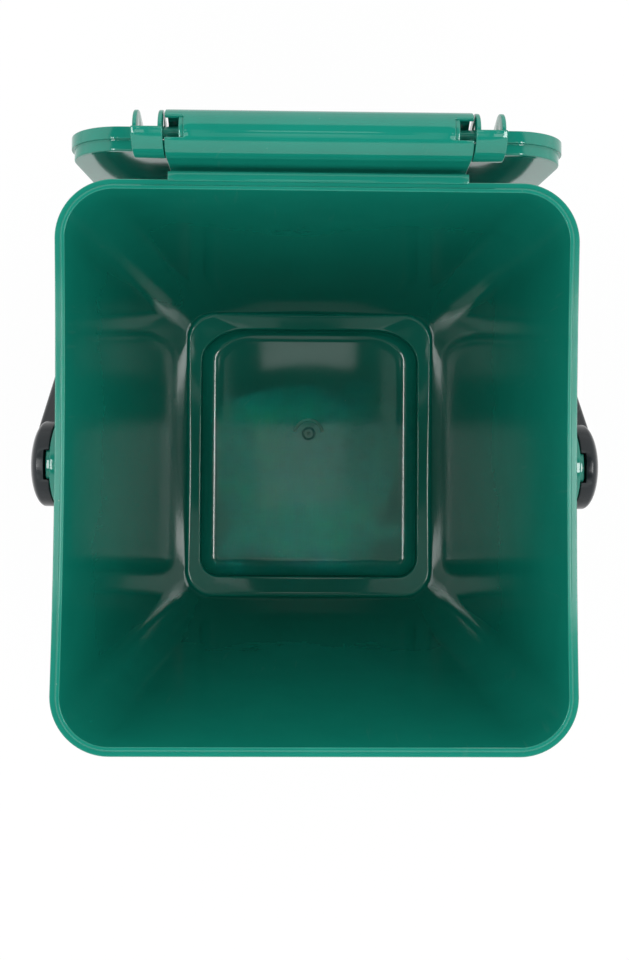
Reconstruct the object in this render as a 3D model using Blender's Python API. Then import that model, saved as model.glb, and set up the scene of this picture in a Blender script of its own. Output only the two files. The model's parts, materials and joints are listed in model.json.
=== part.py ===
# Kerbside food waste caddy: a green tub, its hinged lid folded right back behind it, and a black
# carrying handle lying between the two.
# Metres. X runs to the right, Y to the rear (the hinge side) and Z up. The origin is the centre of
# the underside of the tub's foot.

from math import acos, asin, atan, cos, hypot, pi, radians, sin

import bmesh
import bpy
from mathutils import Matrix, Vector

MM = 0.001

# Tub, outside and inside
RIM_TOP = 388 * MM
RIM_HALF_WIDTH = 137.5 * MM
RIM_HALF_DEPTH = 150 * MM
RIM_CORNER = 31 * MM
RIM_WIDTH = 5.5 * MM
RIM_BAND = 9 * MM
RIM_BEAD_RISE = 1.2 * MM
RIM_BEAD_WIDTH = 2.4 * MM
RIM_ROUND = 0.7 * MM
SIDE_BOW = 1.3 * MM
WALL = 2.2 * MM
LEDGE_HEIGHT = 28 * MM
LEDGE_HALF_WIDTH = 108.4 * MM
LEDGE_HALF_DEPTH = 126 * MM
LEDGE_CORNER = 24 * MM
LEDGE_FILLET = 3 * MM
LEDGE_THICKNESS = 2.5 * MM
FLOOR = 3 * MM
FOOT_HALF_WIDTH = 97 * MM
FOOT_FRONT = 109.2 * MM
FOOT_REAR = 112.6 * MM
FOOT_CORNER_FRONT = 17 * MM
FOOT_CORNER_REAR = 40 * MM
FOOT_FILLET = 14 * MM
FOOT_EDGE = 0.8 * MM

# Lid hinge
HINGE_BEHIND_RIM = 22.5 * MM
HINGE_ABOVE_RIM = 4.3 * MM
HOOD_HALF_LENGTH = 78.9 * MM
HOOD_RADIUS = 11 * MM
HOOD_FRONT_REACH = 13.6 * MM
HOOD_REAR_REACH = 11.7 * MM
HOOD_REAR_DROP = radians(60)
HOOD_SHELL = 2.2 * MM
SHELF_WIDTH = 4.2 * MM
SHELF_DROP = 0.5 * MM
VALLEY_DEPTH = 10 * MM
VALLEY_WIDTH = 3 * MM
WINDOW_LENGTH = 9.7 * MM
WINDOW_FRONT = 5.3 * MM
WINDOW_REAR = 6.4 * MM
BEARING_PLATE = 3 * MM
PLATE_IN_WINDOW = 2.5 * MM
GUSSET_THICKNESS = 2 * MM
GUSSET_DROP = 26 * MM
STOP_HEIGHT = 8 * MM
GUSSET_PLACE_SHARES = (-0.3, 0.3)
PIN_RADIUS = 3.1 * MM
PIN_PAST_PLATE = 1 * MM

# Lid
LID_OPEN_ANGLE = radians(268)
LID_SKIRT_OVERLAP = 4.7 * MM
LID_SKIRT = 1.6 * MM
LID_SKIRT_CLEARANCE = 0.4 * MM
LID_LEAD_IN = 0.9 * MM
LID_LEAD_IN_RISE = 2.5 * MM
LID_SEAT_CLEARANCE = 0.3 * MM
LID_FLANGE_RISE = 7.9 * MM
LID_SHEET = 2 * MM
LID_STEP_RISE = 1.9 * MM
LID_FLANGE_WIDTH = 58 * MM
LID_RECESS = 8 * MM
LID_RECESS_DRAFT = 3 * MM
LID_RECESS_CORNER = 18 * MM
LID_EDGE = 0.5 * MM
KNUCKLE_GAP = 0.6 * MM
KNUCKLE_LENGTH = 15.9 * MM
CHEEK = 2.1 * MM
CHEEK_RADIUS = 11.3 * MM
BAND_RADIUS = 13 * MM
BAND_SHEET = 2 * MM
LIP_REACH = 7 * MM
LIP_HALF_LENGTH = 42 * MM
LIP_CORNER = 5 * MM

# Handle and its pivots
PIVOT_BELOW_RIM = 45 * MM
BOSS_RADIUS = 24 * MM
BOSS_PROUD = 6.7 * MM
BOSS_RIM = 3 * MM
BOSS_RECESS = 7 * MM
SPIGOT_RADIUS = 7.8 * MM
SPIGOT_LENGTH = 8.3 * MM
KEY_RADIUS = 21.8 * MM
KEY_HALF_WIDTH = 7.8 * MM
KEY_PROUD = 2.4 * MM
HUB_RADIUS = 24 * MM
HUB_EDGE = 6 * MM
HUB_DOME = 7.2 * MM
HUB_GROOVE = 2.9 * MM
HUB_BORE_END_GAP = 0.6 * MM
HANDLE_CLEARS_HINGE = 16.6 * MM
HANDLE_CORNER = 36 * MM
ARM_PAST_HUB_EDGE = 8.5 * MM
ARM_START_RADIUS = 16.5 * MM
ARM_THICKNESS = 11.5 * MM
ARM_WIDTH = 20 * MM
GRIP_THICKNESS = 16 * MM
GRIP_WIDTH = 18 * MM
GRIP_REST_GAP = 0.7 * MM

# Clearances and resolution
RUNNING_GAP = 0.3 * MM
OVERRUN = 1 * MM
CORNER_STEPS = 7
BOW_STEPS = 4
FILLET_STEPS = 3
ROUND_SEGMENTS = 32
PIN_SEGMENTS = 24
ARC_STEPS = 12

RIM_INNER_HALF_WIDTH = RIM_HALF_WIDTH - RIM_WIDTH
RIM_INNER_HALF_DEPTH = RIM_HALF_DEPTH - RIM_WIDTH
HINGE_Y = RIM_HALF_DEPTH + HINGE_BEHIND_RIM
HINGE_Z = RIM_TOP + HINGE_ABOVE_RIM
PIVOT_Z = RIM_TOP - PIVOT_BELOW_RIM
KNUCKLE_INNER = HOOD_HALF_LENGTH + KNUCKLE_GAP
KNUCKLE_OUTER = KNUCKLE_INNER + KNUCKLE_LENGTH
WINDOW_INNER = HOOD_HALF_LENGTH - WINDOW_LENGTH
PLATE_OUTER = WINDOW_INNER + PLATE_IN_WINDOW
PLATE_INNER = PLATE_OUTER - BEARING_PLATE
WALL_DRAFT = (RIM_INNER_HALF_DEPTH - LEDGE_HALF_DEPTH) / (RIM_TOP - LEDGE_HEIGHT)
BOSS_FACE = RIM_HALF_WIDTH + BOSS_PROUD
SPIGOT_END = BOSS_FACE + SPIGOT_LENGTH
HUB_INNER = BOSS_FACE + RUNNING_GAP
HUB_EDGE_END = HUB_INNER + HUB_EDGE
ARM_MIDDLE = HUB_EDGE_END + ARM_PAST_HUB_EDGE - ARM_THICKNESS / 2
HANDLE_REACH = (hypot(HINGE_Y, HINGE_Z - PIVOT_Z) + BAND_RADIUS + HANDLE_CLEARS_HINGE
                + GRIP_THICKNESS / 2)


class Outline:
    """A rounded rectangle seen from above, with its own front and rear and their corner radii."""

    def __init__(self, half_width, front, rear, corner_front, corner_rear, bow=0):
        self.half_width = half_width
        self.front = front
        self.rear = rear
        self.corner_front = corner_front
        self.corner_rear = corner_rear
        self.bow = bow

    def mixed(self, other, share):
        """The outline that lies the given share of the way towards another one."""
        def between(a, b):
            return a + (b - a) * share
        return Outline(between(self.half_width, other.half_width), between(self.front, other.front),
                       between(self.rear, other.rear), between(self.corner_front, other.corner_front),
                       between(self.corner_rear, other.corner_rear), between(self.bow, other.bow))

    def ring(self, inset, z):
        """The outline's points at height z, moved inwards by inset."""
        half_width = self.half_width - inset
        front = self.front - inset
        rear = self.rear - inset
        corners = (
            (1, rear, self.corner_rear - inset, 0),
            (-1, rear, self.corner_rear - inset, pi / 2),
            (-1, -front, self.corner_front - inset, pi),
            (1, -front, self.corner_front - inset, 3 * pi / 2),
        )
        points = []
        for side, end, radius, start in corners:
            centre_x = side * (half_width - radius)
            centre_y = end - radius if end > 0 else end + radius
            for step in range(CORNER_STEPS + 1):
                angle = start + step / CORNER_STEPS * pi / 2
                points.append(Vector((centre_x + radius * cos(angle),
                                      centre_y + radius * sin(angle), z)))
            if start == pi / 2:
                front_straight_end = self.corner_front - self.front
                points += self.side_points(-half_width, points[-1].y, front_straight_end, z)
        rear_straight_end = self.rear - self.corner_rear
        points += self.side_points(half_width, points[-1].y, rear_straight_end, z)
        return points

    def side_points(self, side_x, start_y, end_y, z):
        """Points along a long side, which bows inwards a little between its corners."""
        inwards = -1 if side_x > 0 else 1
        points = []
        for step in range(1, BOW_STEPS):
            share = step / BOW_STEPS
            drawn_in = self.bow * 4 * share * (1 - share)
            points.append(Vector((side_x + inwards * drawn_in, start_y + (end_y - start_y) * share, z)))
        return points


def clear_scene():
    for existing in list(bpy.data.objects):
        bpy.data.objects.remove(existing, do_unlink=True)


def make_material(name, colour, roughness):
    material = bpy.data.materials.new(name)
    material.use_nodes = True
    shader = material.node_tree.nodes["Principled BSDF"]
    shader.inputs["Base Color"].default_value = (*colour, 1)
    shader.inputs["Roughness"].default_value = roughness
    shader.inputs["Metallic"].default_value = 0
    return material


def new_object(name, mesh_edit):
    bmesh.ops.recalc_face_normals(mesh_edit, faces=mesh_edit.faces[:])
    mesh = bpy.data.meshes.new(name)
    mesh_edit.to_mesh(mesh)
    mesh_edit.free()
    created = bpy.data.objects.new(name, mesh)
    bpy.context.scene.collection.objects.link(created)
    return created


def loft(name, rings):
    """A closed solid through rings of equally many points, with a flat cap at each end."""
    mesh_edit = bmesh.new()
    made = [[mesh_edit.verts.new(point) for point in ring] for ring in rings]
    for lower, upper in zip(made, made[1:]):
        count = len(lower)
        for index in range(count):
            following = (index + 1) % count
            mesh_edit.faces.new((lower[index], lower[following], upper[following], upper[index]))
    mesh_edit.faces.new(reversed(made[0]))
    mesh_edit.faces.new(made[-1])
    return new_object(name, mesh_edit)


def prism(name, outline, start_x, end_x):
    """A plate along X whose outline is given as (y, z) points."""
    return loft(name, [[Vector((x, y, z)) for y, z in outline] for x in (start_x, end_x)])


def box(name, low, high):
    outline = ((low[1], low[2]), (high[1], low[2]), (high[1], high[2]), (low[1], high[2]))
    return prism(name, outline, low[0], high[0])


def arc(centre_y, centre_z, radius, start, end, steps=ARC_STEPS):
    """(y, z) points on an arc, its angles measured from +Y towards +Z."""
    points = []
    for step in range(steps + 1):
        angle = start + (end - start) * step / steps
        points.append((centre_y + radius * cos(angle), centre_z + radius * sin(angle)))
    return points


def turned(name, profile, centre_y, centre_z, segments=ROUND_SEGMENTS):
    """A turned solid about an axis along X, from (x, radius) pairs."""
    rings = []
    for x, radius in profile:
        circle = arc(centre_y, centre_z, radius, 0, 2 * pi, segments)[:-1]
        rings.append([Vector((x, y, z)) for y, z in circle])
    return loft(name, rings)


def combine(target, tool, operation):
    """Unite a tool solid with the target, or cut it out, and drop the tool."""
    modifier = target.modifiers.new(operation, "BOOLEAN")
    modifier.operation = operation
    modifier.solver = "EXACT"
    modifier.object = tool
    bpy.context.view_layer.update()
    evaluated = target.evaluated_get(bpy.context.evaluated_depsgraph_get())
    mesh = bpy.data.meshes.new_from_object(evaluated)
    target.modifiers.clear()
    old = target.data
    target.data = mesh
    bpy.data.meshes.remove(old)
    mesh.name = target.name
    bpy.data.objects.remove(tool, do_unlink=True)


def unite(target, tool):
    combine(target, tool, "UNION")


def cut(target, tool):
    combine(target, tool, "DIFFERENCE")


def finish(part, material):
    """Weld stray doubles, shade the rounds smooth and give the piece its material."""
    mesh_edit = bmesh.new()
    mesh_edit.from_mesh(part.data)
    bmesh.ops.remove_doubles(mesh_edit, verts=mesh_edit.verts[:], dist=RUNNING_GAP / 100)
    bmesh.ops.dissolve_degenerate(mesh_edit, edges=mesh_edit.edges[:], dist=RUNNING_GAP / 100)
    mesh_edit.to_mesh(part.data)
    mesh_edit.free()
    part.data.materials.clear()
    part.data.materials.append(material)
    part.data.shade_smooth()
    part.data.set_sharp_from_angle(angle=radians(32))


def set_origin(part, position):
    """Move the piece's own origin to a place on its joint's axis, leaving the piece where it is."""
    part.data.transform(Matrix.Translation(-Vector(position)))
    part.location = position


def make_tub(material):
    mouth = Outline(RIM_INNER_HALF_WIDTH, RIM_INNER_HALF_DEPTH, RIM_INNER_HALF_DEPTH,
                    RIM_CORNER - RIM_WIDTH, RIM_CORNER - RIM_WIDTH, SIDE_BOW)
    ledge = Outline(LEDGE_HALF_WIDTH, LEDGE_HALF_DEPTH, LEDGE_HALF_DEPTH, LEDGE_CORNER, LEDGE_CORNER)
    foot = Outline(FOOT_HALF_WIDTH, FOOT_FRONT, FOOT_REAR, FOOT_CORNER_FRONT, FOOT_CORNER_REAR)
    rim = Outline(RIM_HALF_WIDTH, RIM_HALF_DEPTH, RIM_HALF_DEPTH, RIM_CORNER, RIM_CORNER, SIDE_BOW)

    def wall_at(z):
        return ledge.mixed(mouth, (z - LEDGE_HEIGHT) / (RIM_TOP - LEDGE_HEIGHT))

    quarter_turns = [step / FILLET_STEPS * pi / 2 for step in range(FILLET_STEPS + 1)]
    ledge_under = LEDGE_HEIGHT - LEDGE_THICKNESS
    band_under = RIM_TOP - RIM_BAND
    rings = []
    for turn in quarter_turns:
        rings.append(foot.ring(FOOT_FILLET - (FOOT_FILLET + FLOOR) * sin(turn),
                               FLOOR + FOOT_FILLET - (FOOT_FILLET + FLOOR) * cos(turn)))
    rings.append(foot.ring(-FLOOR, ledge_under))
    for turn in quarter_turns:
        rings.append(wall_at(LEDGE_HEIGHT).ring(LEDGE_FILLET - (LEDGE_FILLET + WALL) * sin(turn),
                                                ledge_under + LEDGE_FILLET - LEDGE_FILLET * cos(turn)))
    rings.append(wall_at(band_under).ring(-WALL, band_under))
    rings.append(rim.ring(RIM_ROUND, band_under))
    rings.append(rim.ring(0, band_under + RIM_ROUND))
    band_top = RIM_TOP - RIM_BEAD_RISE
    rings.append(rim.ring(0, band_top - RIM_ROUND))
    rings.append(rim.ring(RIM_ROUND, band_top))
    rings.append(rim.ring(RIM_WIDTH - RIM_BEAD_WIDTH - RIM_ROUND, band_top))
    rings.append(rim.ring(RIM_WIDTH - RIM_BEAD_WIDTH, RIM_TOP))
    rings.append(rim.ring(RIM_WIDTH - RIM_ROUND, RIM_TOP))
    rings.append(wall_at(RIM_TOP - RIM_ROUND).ring(0, RIM_TOP - RIM_ROUND))
    for turn in reversed(quarter_turns):
        rings.append(wall_at(LEDGE_HEIGHT + LEDGE_FILLET).ring(LEDGE_FILLET - LEDGE_FILLET * sin(turn),
                                                               LEDGE_HEIGHT + LEDGE_FILLET
                                                               - LEDGE_FILLET * cos(turn)))
    rings.append(foot.ring(-FOOT_EDGE, LEDGE_HEIGHT))
    rings.append(foot.ring(0, LEDGE_HEIGHT - FOOT_EDGE))
    for turn in reversed(quarter_turns):
        rings.append(foot.ring(FOOT_FILLET - FOOT_FILLET * sin(turn),
                               FLOOR + FOOT_FILLET - FOOT_FILLET * cos(turn)))
    tub = loft("tub", rings)

    unite(tub, make_hood())
    for side in (-1, 1):
        window = (side * WINDOW_INNER, side * (HOOD_HALF_LENGTH + OVERRUN))
        cut(tub, box("window", (min(window), HINGE_Y - WINDOW_FRONT, HINGE_Z + OVERRUN),
                     (max(window), HINGE_Y + WINDOW_REAR, HINGE_Z + HOOD_RADIUS + OVERRUN)))
        unite(tub, make_bearing_plate(side))
        cut(tub, make_pin_bore(side, PLATE_INNER, PLATE_OUTER))
    for share in GUSSET_PLACE_SHARES:
        unite(tub, make_gusset(share * HOOD_HALF_LENGTH))
    for side in (-1, 1):
        unite(tub, make_boss(side, wall_at))
        unite(tub, make_key(side))
    finish(tub, material)
    return tub


def hood_arch(depth, start_angle=-HOOD_REAR_DROP):
    """The hood's arch over the pin from rear to front, at a depth below its skin. It reaches out
    further in front of the pin than behind it."""
    height = HOOD_RADIUS - depth
    points = []
    for y, z in arc(0, HINGE_Z, height, start_angle, pi, 2 * ARC_STEPS):
        reach = (HOOD_REAR_REACH if y > 0 else HOOD_FRONT_REACH) - depth
        points.append((HINGE_Y + y * reach / height, z))
    return points


def hood_section():
    """The hinge hood with its front wall, valley and shelf, as (y, z) points round it."""
    shelf_top = RIM_TOP - SHELF_DROP
    shelf_end = RIM_HALF_DEPTH + SHELF_WIDTH
    valley_floor = shelf_top - VALLEY_DEPTH
    inside_rim = RIM_HALF_DEPTH - OVERRUN
    valley = [
        (shelf_end + VALLEY_WIDTH, valley_floor),
        (shelf_end, valley_floor),
        (shelf_end, shelf_top - RIM_ROUND),
        (shelf_end - RIM_ROUND, shelf_top),
        (inside_rim, shelf_top),
        (inside_rim, valley_floor - HOOD_SHELL),
        (shelf_end + VALLEY_WIDTH + HOOD_SHELL, valley_floor - HOOD_SHELL),
    ]
    return hood_arch(0) + valley + hood_arch(HOOD_SHELL)[::-1]


def make_hood():
    return prism("hood", hood_section(), -HOOD_HALF_LENGTH, HOOD_HALF_LENGTH)


def gusset_section(drop):
    """A web under the hood, from the rear wall out to a round head inside the hood's shell."""
    foot_z = RIM_TOP - drop
    foot_y = RIM_INNER_HALF_DEPTH - drop * WALL_DRAFT + WALL / 2
    front_foot = RIM_HALF_DEPTH + SHELF_WIDTH + VALLEY_WIDTH + HOOD_SHELL / 2
    valley_under = RIM_TOP - SHELF_DROP - VALLEY_DEPTH - HOOD_SHELL / 2
    return hood_arch(HOOD_SHELL / 2) + [
        (front_foot, valley_under),
        (RIM_HALF_DEPTH - OVERRUN, valley_under),
        (foot_y, foot_z),
    ]


def make_bearing_plate(side):
    """The plate that carries a hinge pin. Its toe stops the open lid, which leans out by the rest angle."""
    lean = 3 * pi / 2 - LID_OPEN_ANGLE
    lid_face = LID_FLANGE_RISE - HINGE_ABOVE_RIM + RUNNING_GAP
    toe = []
    for below_axis in (HINGE_BEHIND_RIM + STOP_HEIGHT, HINGE_BEHIND_RIM - LID_SHEET):
        toe.append((HINGE_Y - lid_face * cos(lean) + below_axis * sin(lean),
                    HINGE_Z - lid_face * sin(lean) - below_axis * cos(lean)))
    ends = sorted((side * PLATE_OUTER, side * PLATE_INNER))
    return prism("bearing_plate", gusset_section(GUSSET_DROP + STOP_HEIGHT) + toe, *ends)


def make_gusset(middle_x):
    half = GUSSET_THICKNESS / 2
    return prism("gusset", gusset_section(GUSSET_DROP), middle_x - half, middle_x + half)


def make_boss(side, wall_at):
    """The round pivot pad on the tub's side, with the spigot that the handle turns on."""
    profile = [
        (BOSS_FACE - RIM_ROUND, BOSS_RADIUS),
        (BOSS_FACE, BOSS_RADIUS - RIM_ROUND),
        (BOSS_FACE, BOSS_RADIUS - BOSS_RIM),
        (BOSS_FACE - BOSS_RECESS, BOSS_RADIUS - BOSS_RIM),
        (BOSS_FACE - BOSS_RECESS, SPIGOT_RADIUS),
        (SPIGOT_END - RIM_ROUND, SPIGOT_RADIUS),
        (SPIGOT_END, SPIGOT_RADIUS - RIM_ROUND),
    ]
    root = []
    for y, z in arc(0, PIVOT_Z, BOSS_RADIUS, 0, 2 * pi, ROUND_SEGMENTS)[:-1]:
        root.append(Vector((side * (wall_at(z).half_width - wall_at(z).bow + WALL / 2), y, z)))
    rings = [root]
    for x, radius in profile:
        circle = arc(0, PIVOT_Z, radius, 0, 2 * pi, ROUND_SEGMENTS)[:-1]
        rings.append([Vector((side * x, y, z)) for y, z in circle])
    return loft("boss", rings)


def make_key(side):
    """The key above a spigot: it enters by the hub's notch and holds the hub on in every other pose."""
    lean = asin(KEY_HALF_WIDTH / KEY_RADIUS)
    outline = arc(0, PIVOT_Z, KEY_RADIUS, pi / 2 - lean, pi / 2 + lean)
    outline += [(-KEY_HALF_WIDTH, PIVOT_Z), (KEY_HALF_WIDTH, PIVOT_Z)]
    ends = sorted((side * (BOSS_FACE - BOSS_RECESS - OVERRUN), side * (BOSS_FACE + KEY_PROUD)))
    return prism("key", outline, *ends)


def make_pin_bore(side, inner, outer):
    """A cutter for the hole that a hinge pin passes through, between two distances from the middle."""
    ends = sorted((side * (inner - OVERRUN), side * (outer + OVERRUN)))
    radius = PIN_RADIUS + RUNNING_GAP
    return turned("pin_bore", [(x, radius) for x in ends], HINGE_Y, HINGE_Z, PIN_SEGMENTS)


def make_pin(name, side, material):
    """A plain hinge pin, from the tub's bearing plate out through both cheeks of the lid's knuckle."""
    inner = PLATE_INNER - PIN_PAST_PLATE
    outer = KNUCKLE_OUTER
    profile = [
        (inner, PIN_RADIUS - RIM_ROUND),
        (inner + RIM_ROUND, PIN_RADIUS),
        (outer - RIM_ROUND, PIN_RADIUS),
        (outer, PIN_RADIUS - RIM_ROUND),
    ]
    pin = turned(name, [(side * x, radius) for x, radius in profile], HINGE_Y, HINGE_Z, PIN_SEGMENTS)
    finish(pin, material)
    return pin


def make_lid(material):
    """The lid, modelled closed on the tub and with its origin on the hinge axis."""
    skirt_half_width = RIM_HALF_WIDTH + LID_SKIRT_CLEARANCE + LID_SKIRT
    skirt_half_depth = RIM_HALF_DEPTH + LID_SKIRT_CLEARANCE + LID_SKIRT
    skirt_corner = RIM_CORNER + LID_SKIRT_CLEARANCE + LID_SKIRT
    skirt = Outline(skirt_half_width, skirt_half_depth, skirt_half_depth, skirt_corner, skirt_corner)
    opening = Outline(skirt_half_width - LID_FLANGE_WIDTH, skirt_half_depth - LID_FLANGE_WIDTH,
                      skirt_half_depth - LID_FLANGE_WIDTH, LID_RECESS_CORNER, LID_RECESS_CORNER)
    top = RIM_TOP + LID_FLANGE_RISE
    under = top - LID_SHEET
    step_top = RIM_TOP + LID_STEP_RISE
    seat = RIM_TOP + LID_SEAT_CLEARANCE
    hem = RIM_TOP - LID_SKIRT_OVERLAP
    panel = top - LID_RECESS
    rings = [
        opening.ring(LID_RECESS_DRAFT + LID_EDGE, panel),
        opening.ring(LID_RECESS_DRAFT, panel + LID_EDGE),
        opening.ring(LID_EDGE, top - LID_EDGE),
        opening.ring(0, top),
        skirt.ring(LID_SKIRT + LID_EDGE, top),
        skirt.ring(LID_SKIRT, top - LID_EDGE),
        skirt.ring(LID_SKIRT, step_top + LID_EDGE),
        skirt.ring(LID_SKIRT - LID_EDGE, step_top),
        skirt.ring(LID_EDGE, step_top),
        skirt.ring(0, step_top - LID_EDGE),
        skirt.ring(0, hem + LID_EDGE),
        skirt.ring(LID_EDGE, hem),
        skirt.ring(LID_SKIRT - LID_LEAD_IN, hem),
        skirt.ring(LID_SKIRT, hem + LID_LEAD_IN_RISE),
        skirt.ring(LID_SKIRT, seat),
        skirt.ring(LID_SKIRT + LID_SHEET, seat),
        skirt.ring(LID_SKIRT + LID_SHEET, under),
        opening.ring(-LID_SHEET, under),
        opening.ring(LID_RECESS_DRAFT - LID_SHEET, panel - LID_SHEET),
    ]
    lid = loft("lid", rings)
    cut(lid, box("hood_notch", (-KNUCKLE_OUTER, RIM_HALF_DEPTH - RIM_WIDTH, hem - OVERRUN),
                 (KNUCKLE_OUTER, skirt_half_depth + OVERRUN, step_top)))
    for side in (-1, 1):
        make_knuckle(lid, side, skirt_half_depth - LID_SKIRT, step_top, top)
    make_lip(lid, skirt_half_depth, top)
    finish(lid, material)
    set_origin(lid, (0, HINGE_Y, HINGE_Z))
    return lid


def make_knuckle(lid, side, rear_face, low, top):
    """One hinge knuckle: two cheeks round the pin, under a band that ramps down to the lid."""
    inside_lid = rear_face - LID_SHEET / 2
    ramp_angle = 0.62 * pi
    outer = arc(HINGE_Y, HINGE_Z, BAND_RADIUS, 0, ramp_angle)
    inner = arc(HINGE_Y, HINGE_Z, BAND_RADIUS - BAND_SHEET, ramp_angle, 0)
    ends = sorted((side * KNUCKLE_INNER, side * KNUCKLE_OUTER))
    root = [(rear_face, top - LID_EDGE), (inside_lid, top - LID_SHEET / 2),
            (inside_lid, low + LID_SHEET), (rear_face, low + LID_SHEET)]
    band = outer + root + inner
    unite(lid, prism("band", band, *ends))
    cheek = arc(HINGE_Y, HINGE_Z, CHEEK_RADIUS, -2 * pi / 3, ramp_angle)
    cheek += [(inside_lid, top - LID_SHEET / 2), (inside_lid, low + LID_EDGE)]
    for start in (KNUCKLE_INNER + LID_EDGE, KNUCKLE_OUTER - LID_EDGE - CHEEK):
        faces = sorted((side * start, side * (start + CHEEK)))
        unite(lid, prism("cheek", cheek, *faces))
    cut(lid, make_pin_bore(side, KNUCKLE_INNER, KNUCKLE_OUTER))


def make_lip(lid, front, top):
    """A finger lip at the middle of the lid's front edge."""
    inner = -(front - LID_SKIRT - LID_SHEET / 2)
    outer = -(front + LIP_REACH)
    outline = [(-LIP_HALF_LENGTH, inner), (-LIP_HALF_LENGTH, outer + LIP_CORNER),
               (-LIP_HALF_LENGTH + LIP_CORNER, outer), (LIP_HALF_LENGTH - LIP_CORNER, outer),
               (LIP_HALF_LENGTH, outer + LIP_CORNER), (LIP_HALF_LENGTH, inner)]
    heights = (top - LID_SHEET - LID_EDGE, top - LID_EDGE)
    unite(lid, loft("lip", [[Vector((x, y, z)) for x, y in outline] for z in heights]))


def handle_hang_angle():
    """How far the handle drops behind its pivots before the grip lies against the tub's rear wall."""
    wall_at_pivot = RIM_INNER_HALF_DEPTH + WALL - PIVOT_BELOW_RIM * WALL_DRAFT
    slant = hypot(1, WALL_DRAFT)
    grip_middle = wall_at_pivot + (GRIP_WIDTH / 2 + GRIP_REST_GAP) * slant
    return atan(WALL_DRAFT) + acos(grip_middle / (HANDLE_REACH * slant))


def handle_path():
    """Stations along the handle: middle point, sideways direction and how far it is grip, 0 to 1."""
    corner_y = HANDLE_REACH - HANDLE_CORNER
    corner_x = ARM_MIDDLE - HANDLE_CORNER
    stations = [(Vector((ARM_MIDDLE, 0, 0)), Vector((1, 0, 0)), 0)]
    for step in range(ARC_STEPS + 1):
        angle = step / ARC_STEPS * pi / 2
        outward = Vector((cos(angle), sin(angle), 0))
        middle = Vector((corner_x, corner_y, 0)) + outward * HANDLE_CORNER
        stations.append((middle, outward, step / ARC_STEPS))
    mirrored = []
    for middle, outward, grip in reversed(stations):
        mirrored.append((Vector((-middle.x, middle.y, 0)), Vector((-outward.x, outward.y, 0)), grip))
    return stations + mirrored


def handle_section(middle, outward, grip):
    """A cross-section of the handle: a flat strap on the arms, a rounder bar across the grip."""
    half_thickness = (ARM_THICKNESS + (GRIP_THICKNESS - ARM_THICKNESS) * grip) / 2
    half_width = (ARM_WIDTH + (GRIP_WIDTH - ARM_WIDTH) * grip) / 2
    corner = half_thickness * (0.5 + 0.3 * grip)
    points = []
    for quadrant, (side, up) in enumerate(((1, 1), (-1, 1), (-1, -1), (1, -1))):
        for step in range(FILLET_STEPS + 1):
            angle = (quadrant + step / FILLET_STEPS) * pi / 2
            across = side * (half_thickness - corner) + corner * cos(angle)
            height = up * (half_width - corner) + corner * sin(angle)
            points.append(middle + outward * across + Vector((0, 0, height)))
    return points


def make_handle(material):
    """The U-shaped handle, modelled level behind its pivots and with its origin on their axis."""
    handle = loft("handle", [handle_section(*station) for station in handle_path()])
    hang_angle = handle_hang_angle()
    bore_end = SPIGOT_END + HUB_BORE_END_GAP
    bore_radius = SPIGOT_RADIUS + RUNNING_GAP
    groove_radius = KEY_RADIUS + RUNNING_GAP
    notch_half_width = KEY_HALF_WIDTH + RUNNING_GAP
    arm_outer = ARM_MIDDLE + ARM_THICKNESS / 2
    for side in (-1, 1):
        arm_start = sorted((side * HUB_INNER, side * (arm_outer + OVERRUN)))
        cut(handle, turned("arm_start", [(x, ARM_START_RADIUS) for x in arm_start], 0, 0))
        dome = []
        for step in range(ARC_STEPS // 2):
            angle = step / (ARC_STEPS // 2) * pi / 2
            dome.append((HUB_EDGE_END + HUB_DOME * sin(angle), HUB_RADIUS * cos(angle)))
        profile = [(HUB_INNER, HUB_RADIUS - RIM_ROUND), (HUB_INNER + RIM_ROUND, HUB_RADIUS)] + dome
        profile.append((HUB_EDGE_END + HUB_DOME, HUB_RADIUS * sin(pi / ARC_STEPS) / 2))
        unite(handle, turned("hub", [(side * x, radius) for x, radius in profile], 0, 0))
        mouth, groove_end = HUB_INNER - OVERRUN, HUB_INNER + HUB_GROOVE
        bore = [(mouth, groove_radius), (groove_end, groove_radius),
                (groove_end, bore_radius), (bore_end, bore_radius)]
        cut(handle, turned("bore", [(side * x, radius) for x, radius in bore], 0, 0))
        depths = sorted((side * mouth, side * groove_end))
        notch = box("notch", (depths[0], -notch_half_width, 0),
                    (depths[1], notch_half_width, HUB_RADIUS + OVERRUN))
        notch.data.transform(Matrix.Rotation(hang_angle, 4, "X"))
        cut(handle, notch)
    finish(handle, material)
    return handle


def make_caddy():
    clear_scene()
    tub_green = make_material("tub_green", (0.012, 0.165, 0.115), 0.28)
    lid_green = make_material("lid_green", (0.012, 0.175, 0.12), 0.3)
    pin_green = make_material("pin_green", (0.012, 0.165, 0.115), 0.3)
    handle_black = make_material("handle_black", (0.012, 0.017, 0.02), 0.4)

    make_tub(tub_green)
    lid = make_lid(lid_green)
    lid.rotation_euler.x = -LID_OPEN_ANGLE
    for name, side in (("hinge_pin_left", -1), ("hinge_pin_right", 1)):
        pin = make_pin(name, side, pin_green)
        set_origin(pin, (side * HOOD_HALF_LENGTH, HINGE_Y, HINGE_Z))
        pin.rotation_euler.x = -LID_OPEN_ANGLE
    handle = make_handle(handle_black)
    handle.location = (0, 0, PIVOT_Z)
    handle.rotation_euler.x = -handle_hang_angle()


make_caddy()
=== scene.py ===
# A kerbside food waste caddy in glossy green plastic, seen from straight above: the open tub,
# its lid folded right back behind the hinge, and the black carrying handle between the two.
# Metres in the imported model's frame: X to the right, Y to the rear, Z up.

import json
from math import acos, asin, atan, cos, hypot, pi, radians, sin

import bmesh
import bpy
from mathutils import Matrix, Vector


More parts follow.
